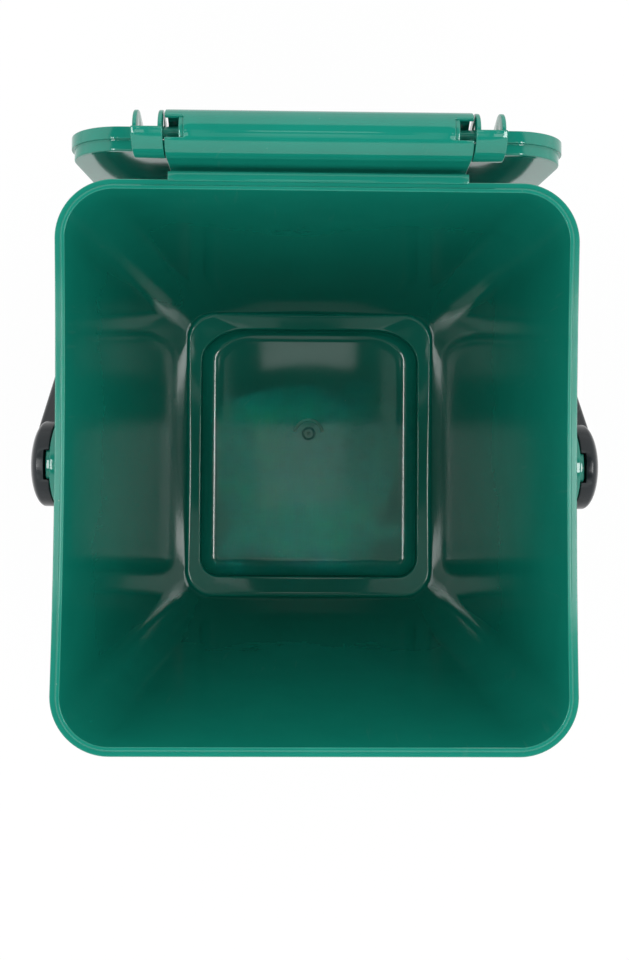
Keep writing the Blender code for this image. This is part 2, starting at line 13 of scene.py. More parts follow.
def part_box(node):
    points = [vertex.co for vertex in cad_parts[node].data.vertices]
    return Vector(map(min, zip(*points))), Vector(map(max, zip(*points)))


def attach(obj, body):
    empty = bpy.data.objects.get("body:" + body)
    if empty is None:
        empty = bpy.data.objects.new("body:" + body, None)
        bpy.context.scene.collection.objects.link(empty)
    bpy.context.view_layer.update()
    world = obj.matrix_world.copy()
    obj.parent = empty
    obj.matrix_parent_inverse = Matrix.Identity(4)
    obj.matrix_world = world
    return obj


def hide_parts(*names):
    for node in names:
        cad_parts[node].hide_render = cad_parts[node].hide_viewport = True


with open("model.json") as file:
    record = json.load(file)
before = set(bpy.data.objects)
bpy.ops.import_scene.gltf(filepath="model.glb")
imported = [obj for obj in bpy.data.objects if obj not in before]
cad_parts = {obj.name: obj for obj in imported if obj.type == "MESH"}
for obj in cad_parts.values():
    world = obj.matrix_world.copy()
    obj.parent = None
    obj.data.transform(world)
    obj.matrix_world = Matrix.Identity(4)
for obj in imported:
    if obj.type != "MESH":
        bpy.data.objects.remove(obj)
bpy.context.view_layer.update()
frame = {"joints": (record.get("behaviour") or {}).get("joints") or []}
mm = 0.001
runningGap = 0.3 * mm      # between pieces that turn or slide on each other
overrun = 1 * mm           # how far a cutting tool reaches past what it cuts

joints = {joint["name"]: joint for joint in frame["joints"]}
hingeAxis = Vector(joints["lid_hinge"]["pos_m"])
pivotAxis = Vector(joints["handle_swing"]["pos_m"])
lidOpenAngle = radians(joints["lid_hinge"]["range_deg"][1])
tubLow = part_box("tub")[0]
print("frame loaded")


# Camera: nearly over the middle of the tub, at the photograph's height and tilt

camera = {
    "place": (-9.64 * mm, 15.80 * mm, 886.8 * mm),
    "tilt": (0.0174, -0.0166, 0.0068),
    "lens": 36,
    "sensor": 36,
    "opticalAxisAboveMiddle": 59.6,   # pixels of the 629 x 960 picture
    "longSide": 960,
}

cameraData = bpy.data.cameras.new("photoCamera")
cameraData.lens = camera["lens"]
cameraData.sensor_width = camera["sensor"]
cameraData.shift_y = -camera["opticalAxisAboveMiddle"] / camera["longSide"]
cameraData.dof.use_dof = False
cameraObject = bpy.data.objects.new("photoCamera", cameraData)
cameraObject.location = camera["place"]
cameraObject.rotation_euler = camera["tilt"]
bpy.context.scene.collection.objects.link(cameraObject)
bpy.context.scene.camera = cameraObject
bpy.context.scene.view_settings.view_transform = "Standard"
print("camera placed")


# Mesh helpers

rounding = {
    "tiny": 1e-9,          # shorter runs have no direction
    "longestShare": 0.48,  # of a run, so that two roundings on it never meet
}


def addRings(mesh, rings, capStart=True, capEnd=True):
    # skins a list of rings with equally many points
    made = [[mesh.verts.new(point) for point in ring] for ring in rings]
    for lower, upper in zip(made, made[1:]):
        for index in range(len(lower)):
            after = (index + 1) % len(lower)
            mesh.faces.new((lower[index], lower[after], upper[after], upper[index]))
    if capStart:
        mesh.faces.new(reversed(made[0]))
    if capEnd:
        mesh.faces.new(made[-1])
    return made


def addCentredCap(mesh, ring, steps):
    # closes a ring with ever smaller rings and a fan, so that a wide flat floor has an even mesh
    middle = sum((vertex.co for vertex in ring), Vector()) / len(ring)
    outer = ring
    for step in range(1, steps):
        inner = [mesh.verts.new(vertex.co.lerp(middle, step / steps)) for vertex in ring]
        for index in range(len(ring)):
            after = (index + 1) % len(ring)
            mesh.faces.new((outer[index], outer[after], inner[after], inner[index]))
        outer = inner
    hub = mesh.verts.new(middle)
    for index in range(len(ring)):
        mesh.faces.new((outer[index], outer[(index + 1) % len(ring)], hub))


def roundedProfile(stations, roundSteps=4):
    # stations are (ring, rounding radius there, divisions up to the next ring)
    rings = []
    for index, (ring, radius, divisions) in enumerate(stations):
        start = end = ring
        if radius and 0 < index < len(stations) - 1:
            before, after = stations[index - 1][0], stations[index + 1][0]
            start = [towards(a, b, radius) for a, b in zip(ring, before)]
            end = [towards(a, b, radius) for a, b in zip(ring, after)]
            for step in range(roundSteps + 1):
                t = step / roundSteps
                rings.append([p * (1 - t) ** 2 + q * 2 * t * (1 - t) + r * t ** 2
                              for p, q, r in zip(start, ring, end)])
        else:
            rings.append(list(ring))
        if index < len(stations) - 1:
            following, nextRadius, _ = stations[index + 1]
            if not nextRadius or index + 1 == len(stations) - 1:
                goal = following
            else:
                goal = [towards(a, b, nextRadius) for a, b in zip(following, ring)]
            for step in range(1, divisions):
                rings.append([p.lerp(q, step / divisions) for p, q in zip(end, goal)])
    return rings


def towards(point, other, distance):
    run = other - point
    if run.length < rounding["tiny"]:
        return point.copy()
    return point + run * min(distance / run.length, rounding["longestShare"])


def arcPoints(middle, radius, start, end, steps):
    # (y, z) pairs, the angle measured from +Y towards +Z
    return [(middle[0] + radius * cos(start + (end - start) * step / steps),
             middle[1] + radius * sin(start + (end - start) * step / steps))
            for step in range(steps + 1)]


def turnedRings(profile, axis, steps=96):
    # rings about a line along X through axis, from (x, radius) pairs
    rings = []
    for x, radius in profile:
        circle = arcPoints((axis.y, axis.z), radius, 0, 2 * pi, steps)[:-1]
        rings.append([Vector((x, y, z)) for y, z in circle])
    return rings


def addGridShell(mesh, outer, inner, isOpen):
    # a sheet with thickness from two grids of points, with cells left out where isOpen says so
    rows, columns = len(outer), len(outer[0])
    outside = [[mesh.verts.new(p) for p in row] for row in outer]
    inside = [[mesh.verts.new(p) for p in row] for row in inner]

    def solid(i, j):
        return 0 <= i < rows - 1 and 0 <= j < columns - 1 and not isOpen(i, j)

    for i in range(rows - 1):
        for j in range(columns - 1):
            if not solid(i, j):
                continue
            corners = ((i, j), (i + 1, j), (i + 1, j + 1), (i, j + 1))
            mesh.faces.new([outside[a][b] for a, b in corners])
            mesh.faces.new([inside[a][b] for a, b in reversed(corners)])
            neighbours = ((i, j - 1), (i + 1, j), (i, j + 1), (i - 1, j))
            for (a, b), (c, d), beyond in zip(corners, corners[1:] + corners[:1], neighbours):
                if not solid(*beyond):
                    mesh.faces.new((outside[a][b], inside[a][b], inside[c][d], outside[c][d]))
    loose = [vertex for vertex in mesh.verts if not vertex.link_faces]
    bmesh.ops.delete(mesh, geom=loose, context="VERTS")


def objectFrom(name, mesh, place=None):
    if place:
        bmesh.ops.transform(mesh, matrix=place, verts=mesh.verts[:])
    bmesh.ops.recalc_face_normals(mesh, faces=mesh.faces[:])
    data = bpy.data.meshes.new(name)
    mesh.to_mesh(data)
    mesh.free()
    made = bpy.data.objects.new(name, data)
    bpy.context.scene.collection.objects.link(made)
    return made


def fromRings(name, rings, place=None):
    mesh = bmesh.new()
    addRings(mesh, rings)
    return objectFrom(name, mesh, place)


def fromPlate(name, outline, startX, endX, place=None):
    # a flat plate across X with a (y, z) outline
    return fromRings(name, [[Vector((x, y, z)) for y, z in outline] for x in (startX, endX)], place)


def cutAway(piece, tool):
    modifier = piece.modifiers.new("cut", "BOOLEAN")
    modifier.operation = "DIFFERENCE"
    modifier.solver = "EXACT"
    modifier.object = tool
    bakeModifiers(piece)
    bpy.data.objects.remove(tool, do_unlink=True)


def bakeModifiers(piece):
    bpy.context.view_layer.update()
    evaluated = piece.evaluated_get(bpy.context.evaluated_depsgraph_get())
    baked = bpy.data.meshes.new_from_object(evaluated)
    piece.modifiers.clear()
    old = piece.data
    piece.data = baked
    bpy.data.meshes.remove(old)
    baked.name = piece.name


def softenEdges(piece, width, segments=3, angle=40):
    # moulded edges are never sharp
    bevel = piece.modifiers.new("soft edges", "BEVEL")
    bevel.width = width
    bevel.segments = segments
    bevel.limit_method = "ANGLE"
    bevel.angle_limit = radians(angle)
    bakeModifiers(piece)


def dress(piece, material, body, slotName, *standsFor, sharp=50):
    piece.data.materials.clear()
    piece.data.materials.append(material)
    piece.data.shade_smooth()
    piece.data.set_sharp_from_angle(angle=radians(sharp))
    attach(piece, body)
    if standsFor:
        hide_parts(*standsFor)


# Finishes: three effects that every plastic shares, then the plastics themselves

def newGroup(name, inputs, outputs):
    # takes a place and some numbers, and puts out values that change over the surface
    group = bpy.data.node_groups.new(name, "ShaderNodeTree")
    group.interface.new_socket("Place", in_out="INPUT", socket_type="NodeSocketVector")
    for label in inputs:
        group.interface.new_socket(label, in_out="INPUT", socket_type="NodeSocketFloat")
    for label in outputs:
        group.interface.new_socket(label, in_out="OUTPUT", socket_type="NodeSocketFloat")
    return group, group.nodes.new("NodeGroupInput"), group.nodes.new("NodeGroupOutput")


def addNode(tree, kind, settings=None, **values):
    node = tree.nodes.new(kind)
    for key, value in (settings or {}).items():
        setattr(node, key, value)
    for key, value in values.items():
        node.inputs[key.replace("_", " ")].default_value = value
    return node


def addMath(tree, operation, first, second=None, third=None, clamp=False):
    node = tree.nodes.new("ShaderNodeMath")
    node.operation = operation
    node.use_clamp = clamp
    for index, value in enumerate((first, second, third)):
        if value is None:
            continue
        if isinstance(value, bpy.types.NodeSocket):
            tree.links.new(value, node.inputs[index])
        else:
            node.inputs[index].default_value = value
    return node.outputs[0]


def addNoise(tree, vector, scale, detail=3, roughness=0.5, distortion=0):
    node = addNode(tree, "ShaderNodeTexNoise", Detail=detail, Roughness=roughness, Distortion=distortion)
    tree.links.new(vector, node.inputs["Vector"])
    if isinstance(scale, bpy.types.NodeSocket):
        tree.links.new(scale, node.inputs["Scale"])
    else:
        node.inputs["Scale"].default_value = scale
    return node.outputs["Fac"]


def addStretch(tree, vector, scale):
    node = addNode(tree, "ShaderNodeVectorMath", {"operation": "MULTIPLY"})
    tree.links.new(vector, node.inputs[0])
    node.inputs[1].default_value = scale
    return node.outputs[0]


def addBand(tree, value, low, high, outLow=0.0, outHigh=1.0):
    node = addNode(tree, "ShaderNodeMapRange", {"interpolation_type": "SMOOTHSTEP"},
                   From_Min=low, From_Max=high, To_Min=outLow, To_Max=outHigh)
    tree.links.new(value, node.inputs["Value"])
    return node.outputs["Result"]


def heightOf(tree, vector):
    split = addNode(tree, "ShaderNodeSeparateXYZ")
    tree.links.new(vector, split.inputs[0])
    return split.outputs["Z"]


# the moulded surface: slow waves of a thin wall, fine orange peel, and cloudy colour
skinLook = {
    "waveDetail": 1.5,
    "peelDetail": 2,
    "cloud": {"scale": 22, "detail": 5, "roughness": 0.6, "distortion": 0.4},
    "cloudBand": (0.3, 0.7),
    "patch": {"scale": 60, "detail": 4, "roughness": 0.65},
    "patchBand": (0.35, 0.75),
}


def buildMouldSkin():
    group, start, end = newGroup("mouldSkin", ("Wave Size", "Wave Depth", "Peel Size", "Peel Depth"),
                                 ("Height", "Cloud", "Shine Patch"))
    place = start.outputs["Place"]
    waves = addNoise(group, place, start.outputs["Wave Size"], detail=skinLook["waveDetail"])
    peel = addNoise(group, place, start.outputs["Peel Size"], detail=skinLook["peelDetail"])
    height = addMath(group, "MULTIPLY", waves, start.outputs["Wave Depth"])
    height = addMath(group, "MULTIPLY_ADD", peel, start.outputs["Peel Depth"], height)
    cloud = addBand(group, addNoise(group, place, **skinLook["cloud"]), *skinLook["cloudBand"])
    patch = addBand(group, addNoise(group, place, **skinLook["patch"]), *skinLook["patchBand"])
    for value, label in ((height, "Height"), (cloud, "Cloud"), (patch, "Shine Patch")):
        group.links.new(value, end.inputs[label])
    return group


# short hairline scratches in two directions, and a little paling along convex edges that is partly wear and
# partly a painted highlight
markLook = {
    "hairs": (((420, 60, 28), 0.5), ((52, 430, 34), -0.7)),   # stretch and turn of each direction
    "hair": {"scale": 1, "detail": 2, "roughness": 0.4},
    "hairBand": (0.66, 0.74),
    "where": {"scale": 17, "detail": 2},
    "whereBand": (0.45, 0.7),
    "convexBand": (0.52, 0.62),
    "broken": {"scale": 120, "detail": 3},
    "brokenBand": (0.3, 0.7, 0.35, 1),
    "roughens": 0.3,
}


def buildMarksAndEdgeHighlight():
    group, start, end = newGroup("marksAndEdgeHighlight", ("Scratch Amount", "Edge Amount"),
                                 ("Scratches", "Worn Edge And Highlight"))
    place = start.outputs["Place"]
    hairs = None
    for stretch, turn in markLook["hairs"]:
        turned = addNode(group, "ShaderNodeVectorRotate", {"rotation_type": "Z_AXIS"}, Angle=turn)
        group.links.new(place, turned.inputs["Vector"])
        lines = addNoise(group, addStretch(group, turned.outputs[0], stretch), **markLook["hair"])
        fine = addBand(group, lines, *markLook["hairBand"])
        hairs = fine if hairs is None else addMath(group, "MAXIMUM", hairs, fine)
    where = addBand(group, addNoise(group, place, **markLook["where"]), *markLook["whereBand"])
    hairs = addMath(group, "MULTIPLY", hairs, where)
    hairs = addMath(group, "MULTIPLY", hairs, start.outputs["Scratch Amount"])
    # convex edges are paled: partly worn plastic, partly a painted highlight along the edges
    shape = addNode(group, "ShaderNodeNewGeometry")
    convex = addBand(group, shape.outputs["Pointiness"], *markLook["convexBand"])
    broken = addBand(group, addNoise(group, place, **markLook["broken"]), *markLook["brokenBand"])
    edge = addMath(group, "MULTIPLY", convex, broken)
    edge = addMath(group, "MULTIPLY", edge, start.outputs["Edge Amount"])
    group.links.new(hairs, end.inputs["Scratches"])
    group.links.new(edge, end.inputs["Worn Edge And Highlight"])
    return group


# specks and a thin film that lie on what faces up
dustLook = {
    "upwardBand": (0.0, 0.9, 0.25, 1),
    "film": {"scale": 35, "detail": 5, "roughness": 0.7},
    "cellScale": 150,
    "speckBand": (0.035, 0.075, 1, 0),
    "fewBand": (0.955, 0.97),
    "roughens": 0.5,
}


def buildSettledDust():
    group, start, end = newGroup("settledDust", ("Film", "Specks"), ("Dust",))
    place = start.outputs["Place"]
    shape = addNode(group, "ShaderNodeNewGeometry")
    upward = addBand(group, heightOf(group, shape.outputs["Normal"]), *dustLook["upwardBand"])
    film = addMath(group, "MULTIPLY", addNoise(group, place, **dustLook["film"]), start.outputs["Film"])
    cells = addNode(group, "ShaderNodeTexVoronoi", {"feature": "F1"}, Randomness=1,
                    Scale=dustLook["cellScale"])
    group.links.new(place, cells.inputs["Vector"])
    near = addBand(group, cells.outputs["Distance"], *dustLook["speckBand"])
    chosen = addNode(group, "ShaderNodeSeparateColor")
    group.links.new(cells.outputs["Color"], chosen.inputs[0])
    few = addBand(group, chosen.outputs["Red"], *dustLook["fewBand"])
    specks = addMath(group, "MULTIPLY", near, few)
    specks = addMath(group, "MULTIPLY", specks, start.outputs["Specks"])
    dust = addMath(group, "ADD", film, specks)
    group.links.new(addMath(group, "MULTIPLY", dust, upward, clamp=True), end.inputs["Dust"])
    return group


mouldSkin = buildMouldSkin()
marksAndEdgeHighlight = buildMarksAndEdgeHighlight()
settledDust = buildSettledDust()


def makePlastic(name, look):
    material = bpy.data.materials.new(name)
    material.use_nodes = True
    tree = material.node_tree
    shader = tree.nodes["Principled BSDF"]
    place = addNode(tree, "ShaderNodeTexCoord").outputs["Object"]

    skin = addNode(tree, "ShaderNodeGroup", {"node_tree": mouldSkin}, Wave_Size=look["waveSize"],
                   Wave_Depth=look["waveDepth"], Peel_Size=look["peelSize"], Peel_Depth=look["peelDepth"])
    marks = addNode(tree, "ShaderNodeGroup", {"node_tree": marksAndEdgeHighlight},
                    Scratch_Amount=look["scratches"], Edge_Amount=look["edgeWearAndHighlight"])
    dust = addNode(tree, "ShaderNodeGroup", {"node_tree": settledDust},
                   Film=look["dustFilm"], Specks=look["dustSpecks"])
    for group in (skin, marks, dust):
        tree.links.new(place, group.inputs["Place"])

    colour = None
    # the pale colour serves the scratches, and the convex edges, where it is partly wear and partly a painted
    # highlight
    for factor, tint in ((skin.outputs["Cloud"], look["cloudColour"]),
                         (marks.outputs["Worn Edge And Highlight"], look["wornAndHighlightColour"]),
                         (marks.outputs["Scratches"], look["wornAndHighlightColour"]),
                         (dust.outputs["Dust"], look["dustColour"])):
        mix = tree.nodes.new("ShaderNodeMix")
        mix.data_type = "RGBA"
        tree.links.new(factor, mix.inputs["Factor"])
        if colour is None:
            mix.inputs["A"].default_value = (*look["colour"], 1)
        else:
            tree.links.new(colour, mix.inputs["A"])
        mix.inputs["B"].default_value = (*tint, 1)
        colour = mix.outputs["Result"]
    tree.links.new(colour, shader.inputs["Base Color"])

    patch = skin.outputs["Shine Patch"]
    rough = addMath(tree, "MULTIPLY_ADD", patch, look["patchRoughness"], look["roughness"])
    rough = addMath(tree, "MULTIPLY_ADD", marks.outputs["Scratches"], markLook["roughens"], rough)
    if "wallRoughness" in look:
        # the walls have a duller skin than the ledge and the foot
        onWall = addBand(tree, heightOf(tree, place), *look["wallStarts"])
        rough = addMath(tree, "MULTIPLY_ADD", onWall, look["wallRoughness"] - look["roughness"], rough)
    rough = addMath(tree, "MULTIPLY_ADD", dust.outputs["Dust"], dustLook["roughens"], rough, clamp=True)
    tree.links.new(rough, shader.inputs["Roughness"])

    bump = addNode(tree, "ShaderNodeBump", Strength=look["bumpStrength"], Distance=look["bumpDistance"])
    tree.links.new(skin.outputs["Height"], bump.inputs["Height"])
    tree.links.new(bump.outputs["Normal"], shader.inputs["Normal"])
    shader.inputs["IOR"].default_value = look["ior"]
    return material


greenLook = {
    "colour": (0.004, 0.182, 0.130),
    "cloudColour": (0.005, 0.196, 0.140),
    # pale for scratches and worn edges, and a painted highlight along convex edges
    "wornAndHighlightColour": (0.11, 0.24, 0.19),
    "dustColour": (0.30, 0.38, 0.33),
    "roughness": 0.05,
    "patchRoughness": 0.02,
    "ior": 1.5,
    "waveSize": 8.0,
    "waveDepth": 1.0,
    "peelSize": 650.0,
    "peelDepth": 0.004,
    "scratches": 0.10,
    "edgeWearAndHighlight": 0.7,
    "dustFilm": 0.01,
    "dustSpecks": 0.25,
    "bumpStrength": 1.0,
    "bumpDistance": 0.0004,
}

blackLook = {
    "colour": (0.005, 0.009, 0.012),
    "cloudColour": (0.008, 0.012, 0.015),
    # pale for scratches and worn edges, and a painted highlight along convex edges
    "wornAndHighlightColour": (0.07, 0.08, 0.08),
    "dustColour": (0.20, 0.20, 0.19),
    "roughness": 0.17,
    "patchRoughness": 0.08,
    "ior": 1.38,
    "waveSize": 30.0,
    "waveDepth": 0.3,
    "peelSize": 1400.0,
    "peelDepth": 0.03,
    "scratches": 0.3,
    "edgeWearAndHighlight": 0.3,
    "dustFilm": 0.02,
    "dustSpecks": 0.3,
    "bumpStrength": 0.8,
    "bumpDistance": 0.0005,
}

tubLook = {**greenLook, "wallRoughness": 0.12, "wallStarts": (0.034, 0.060)}
# the raised arc and the dot at the gate are painted paler than the floor: a painted highlight
gateHighlightLook = {**greenLook, "colour": (0.07, 0.27, 0.20), "cloudColour": (0.09, 0.30, 0.23)}

greenPlastic = makePlastic("greenPlastic", greenLook)
tubPlastic = makePlastic("tubPlastic", tubLook)
gateHighlightPlastic = makePlastic("gateHighlightPlastic", gateHighlightLook)
blackPlastic = makePlastic("blackPlastic", blackLook)
print("finishes ready")


# Tub

tub = {
    "rimTop": 388 * mm,
    "rimWidth": 5.5 * mm,
    "rimBand": 9 * mm,
    "bandRound": 1.2 * mm,
    "beadRise": 1.2 * mm,
    "beadWidth": 2.4 * mm,
    "beadRound": 0.35 * mm,
    "edgeRound": 0.7 * mm,
    "wall": 2.2 * mm,
    "ledgeHeight": 28 * mm,
    "ledgeFillet": 3 * mm,
    "ledgeFall": 1.9 * mm,
    "ledgeFallMore": 0.55 * mm,
    "fallPower": 8,
    "cornerLevel": 0.95,           # share of the fall that the corners lack
    "cornerPower": 3,
    "ledgeThickness": 4.5 * mm,
    "underRound": 1 * mm,
    "floor": 3 * mm,
    "footFillet": 14 * mm,
    "footEdge": 0.8 * mm,
    "filletSteps": 14,
    "roundSteps": 7,
    "wallDivisions": 22,
    "ledgeDivisions": 12,
    "footDivisions": 8,
    "floorRings": 16,
    "cornerSteps": 20,
    "sideSteps": 16,
}
rimOutline = {"halfWidth": 137.5 * mm, "front": 150 * mm, "rear": 150 * mm,
              "cornerFront": 31 * mm, "cornerRear": 31 * mm, "bow": 1.3 * mm}
mouthOutline = {key: value if key == "bow" else value - tub["rimWidth"] for key, value in rimOutline.items()}
ledgeOutline = {"halfWidth": 108.4 * mm, "front": 126 * mm, "rear": 126 * mm,
                "cornerFront": 24 * mm, "cornerRear": 24 * mm, "bow": 0}
footOutline = {"halfWidth": 97 * mm, "front": 109.2 * mm, "rear": 112.6 * mm,
               "cornerFront": 17 * mm, "cornerRear": 40 * mm, "bow": 0, "rearFlatness": 0.75}
# where the foot's fillet ends: its full width in from the sides and the front, and less at the rear
footFloor = {"halfWidth": footOutline["halfWidth"] - tub["footFillet"],
             "front": footOutline["front"] - tub["footFillet"], "rear": 108.8 * mm,
             "cornerFront": 3.5 * mm, "cornerRear": 37 * mm, "bow": 0, "rearFlatness": 0.58}


def blendOutlines(first, second, share):
    return {key: first[key] + (second[key] - first[key]) * share for key in first}


def wallOutline(z):
    share = (z - tub["ledgeHeight"]) / (tub["rimTop"] - tub["ledgeHeight"])
    return blendOutlines(ledgeOutline, mouthOutline, share)


def outlineRing(outline, inset, z):
    # a rounded rectangle from the rear right corner round through the left side and the front
    halfWidth = outline["halfWidth"] - inset
    front, rear = outline["front"] - inset, outline["rear"] - inset
    cornerFront, cornerRear = outline["cornerFront"] - inset, outline["cornerRear"] - inset
    rearDepth = cornerRear * outline.get("rearFlatness", 1)
    corners = ((1, rear - rearDepth, cornerRear, rearDepth, 0),
               (-1, rear - rearDepth, cornerRear, rearDepth, pi / 2),
               (-1, cornerFront - front, cornerFront, cornerFront, pi),
               (1, cornerFront - front, cornerFront, cornerFront, 3 * pi / 2))
    points = []
    for index, (side, middleY, radius, depth, start) in enumerate(corners):
        middleX = side * (halfWidth - radius)
        for step in range(tub["cornerSteps"] + 1):
            angle = start + step / tub["cornerSteps"] * pi / 2
            points.append(Vector((middleX + radius * cos(angle), middleY + depth * sin(angle), z)))
        nextSide, nextY, nextRadius, nextDepth, nextStart = corners[(index + 1) % len(corners)]
        goal = Vector((nextSide * (halfWidth - nextRadius) + nextRadius * cos(nextStart),
                       nextY + nextDepth * sin(nextStart), z))
        begin = points[-1].copy()
        for step in range(1, tub["sideSteps"]):
            share = step / tub["sideSteps"]
            point = begin.lerp(goal, share)
            if side != nextSide:
                points.append(point)
                continue
            # the left and right sides bow inwards
            point.x -= (1 if point.x > 0 else -1) * outline["bow"] * 4 * share * (1 - share)
            points.append(point)
    return points


def makeTubShell():
    rimTop, wall, floor = tub["rimTop"], tub["wall"], tub["floor"]
    ledgeHeight = tub["ledgeHeight"]
    ledgeUnder = ledgeHeight - tub["ledgeThickness"]
    bandUnder = rimTop - tub["rimBand"]
    bandTop = rimTop - tub["beadRise"]
    beadOuter = tub["rimWidth"] - tub["beadWidth"]
    edge, bead, fillet = tub["edgeRound"], tub["beadRound"], tub["footFillet"]
    turns = [step / tub["filletSteps"] * pi / 2 for step in range(tub["filletSteps"])]
    shapes = [blendOutlines(footOutline, footFloor, 1 - sin(turn)) for turn in turns]
    underside = [outlineRing(shape, -floor * sin(turn), (fillet + floor) * (1 - cos(turn)))
                 for shape, turn in zip(shapes, turns)]
    basin = [outlineRing(shape, 0, floor + fillet * (1 - cos(turn)))
             for shape, turn in zip(reversed(shapes), reversed(turns))]
    # the ledge drains towards the foot, a little more at its front and rear than at its sides,
    # and less at its four corners, where it is widest
    footEdge = outlineRing(footOutline, 0, ledgeHeight)
    for point in footEdge:
        alongX, alongY = abs(point.x / footOutline["halfWidth"]), abs(point.y / footOutline["rear"])
        fall = tub["ledgeFall"] + tub["ledgeFallMore"] * alongY ** tub["fallPower"]
        point.z -= fall * (1 - tub["cornerLevel"] * (alongX * alongY) ** tub["cornerPower"])
    stations = [
        (outlineRing(footOutline, -floor, fillet + floor), 0, 1),
        (outlineRing(footOutline, -floor, ledgeUnder), tub["underRound"], 2),
        (outlineRing(wallOutline(ledgeHeight), -wall, ledgeUnder), tub["ledgeFillet"] + wall,
         tub["wallDivisions"]),
        (outlineRing(wallOutline(bandUnder), -wall, bandUnder), tub["bandRound"], 1),
        (outlineRing(rimOutline, 0, bandUnder), edge, 2),
        (outlineRing(rimOutline, 0, bandTop), edge, 1),
        (outlineRing(rimOutline, beadOuter, bandTop), bead, 1),
        (outlineRing(rimOutline, beadOuter + bead, rimTop), edge, 1),
        (outlineRing(wallOutline(rimTop), 0, rimTop), edge, tub["wallDivisions"]),
        (outlineRing(wallOutline(ledgeHeight), 0, ledgeHeight), tub["ledgeFillet"], tub["ledgeDivisions"]),
        (footEdge, tub["footEdge"], tub["footDivisions"]),
        (outlineRing(footOutline, 0, floor + fillet), 0, 1),
    ]
    mesh = bmesh.new()
    rings = underside + roundedProfile(stations, roundSteps=tub["roundSteps"]) + basin
    made = addRings(mesh, rings, capStart=False, capEnd=False)
    addCentredCap(mesh, made[0], tub["floorRings"])
    addCentredCap(mesh, made[-1], tub["floorRings"])
    dress(objectFrom("tubShell", mesh), tubPlastic, "tub", "tub_green", "tub")


# The injection gate in the middle of the floor, with the raised arc round its rear half

gate = {
    "place": (-0.4 * mm, 19.1 * mm),
    "ringRadius": 5.2 * mm,
    "ringWire": 1.0 * mm,
    "arcRadius": 12.6 * mm,
    "arcWire": 1.3 * mm,
    "arcFrom": radians(8),
    "arcTo": radians(172),
    "dotRadius": 1.7 * mm,
    "dotHeight": 0.7 * mm,
    "dotSunk": 0.2 * mm,
    "bendSteps": 48,
    "wireSides": 12,
    "dotRings": 7,
    "dotSides": 24,
    "weld": 0.01 * mm,
}


def wireRings(radius, wire, start, end):
    # a round wire, half sunk in the floor, bent along an arc
    sides, steps = gate["wireSides"], gate["bendSteps"]
    turns = [2 * pi * turn / sides for turn in range(sides)]
    rings = []
    for step in range(steps + 1):
        angle = start + (end - start) * step / steps
        outward = Vector((cos(angle), sin(angle), 0))
        middle = Vector((*gate["place"], tub["floor"])) + outward * radius
        rings.append([middle + outward * wire * cos(turn) + Vector((0, 0, wire * sin(turn)))
                      for turn in turns])
    return rings


def makeGateMark():
    mesh = bmesh.new()
    rings = wireRings(gate["ringRadius"], gate["ringWire"], 0, 2 * pi)
    made = addRings(mesh, rings, capStart=False, capEnd=False)
    bmesh.ops.remove_doubles(mesh, verts=made[0] + made[-1], dist=gate["weld"])
    dress(objectFrom("gateRing", mesh), greenPlastic, "tub", "tub_green")
    arc = wireRings(gate["arcRadius"], gate["arcWire"], gate["arcFrom"], gate["arcTo"])
    # the arc and the dot carry the paler colour of a painted highlight
    dress(fromRings("gateArc", arc), gateHighlightPlastic, "tub", "tub_green")
    x, y = gate["place"]
    turns = [2 * pi * turn / gate["dotSides"] for turn in range(gate["dotSides"])]
    dot = []
    for step in range(gate["dotRings"]):
        rise = step / gate["dotRings"] * pi / 2
        radius = gate["dotRadius"] * cos(rise)
        height = tub["floor"] - gate["dotSunk"] + gate["dotHeight"] * sin(rise)
        dot.append([Vector((x + radius * cos(turn), y + radius * sin(turn), height)) for turn in turns])
    dress(fromRings("gateDot", dot), gateHighlightPlastic, "tub", "tub_green")


makeTubShell()
makeGateMark()
print("tub shell made")


# Hinge hood behind the rim, with its shelf, windows, bearing plates and gussets

hood = {
    "halfLength": 78.9 * mm,
    "radius": 11 * mm,
    "frontReach": 13.6 * mm,
    "rearReach": 11.7 * mm,
    "rearDrop": radians(60),
    "sheet": 2.2 * mm,
    "shelfWidth": 4.2 * mm,
    "shelfDrop": 0.5 * mm,
    "valleyDepth": 10 * mm,
    "valleyWidth": 3 * mm,
    "valleyRound": 1 * mm,
    "roundShare": 0.3,             # how far in a rounded corner's middle point lies
    "underRound": 0.5 * mm,
    "underShare": 0.9,
    "rootInRim": 1 * mm,
    "windowLength": 9.7 * mm,
    "windowFront": 5.3 * mm,
    "windowRear": 6.4 * mm,
    "plate": 3 * mm,
    "plateInWindow": 2.5 * mm,
    "gusset": 2 * mm,
    "gussetDrop": 26 * mm,
    "gussetShares": (-0.3, 0.3),
    "stopHeight": 8 * mm,
    "toeRise": 2 * mm,
    "softEdge": 0.45 * mm,
    "lengthDivisions": 36,
    "arcSteps": (18, 14, 12),      # behind the window, over it and before it
    "underSteps": 7,
    "headSteps": 32,
}
pin = {
    "radius": 3.1 * mm,
    "pastPlate": 1 * mm,
    "edge": 0.7 * mm,
    "tip": 0.2 * mm,                   # radius of the small flat that closes each end
    "sides": 48,
    "plateBorer": (3 * mm, -6 * mm),   # the boring tool's ends, along X from a plate's outer face
    "cheekBorer": (-2 * mm, 5 * mm),   # and outwards from a cheek's inner face
}
rearWallDraft = (mouthOutline["rear"] - ledgeOutline["rear"]) / (tub["rimTop"] - tub["ledgeHeight"])
lidFlangeRise = 7.9 * mm
windowInner = hood["halfLength"] - hood["windowLength"]
plateOuter = windowInner + hood["plateInWindow"]


def archPoint(depth, angle):
    # a (y, z) point below the hood's skin, which reaches out further before the pin than behind it
    reach = hood["rearReach"] if cos(angle) > 0 else hood["frontReach"]
    return hingeAxis.y + (reach - depth) * cos(angle), hingeAxis.z + (hood["radius"] - depth) * sin(angle)


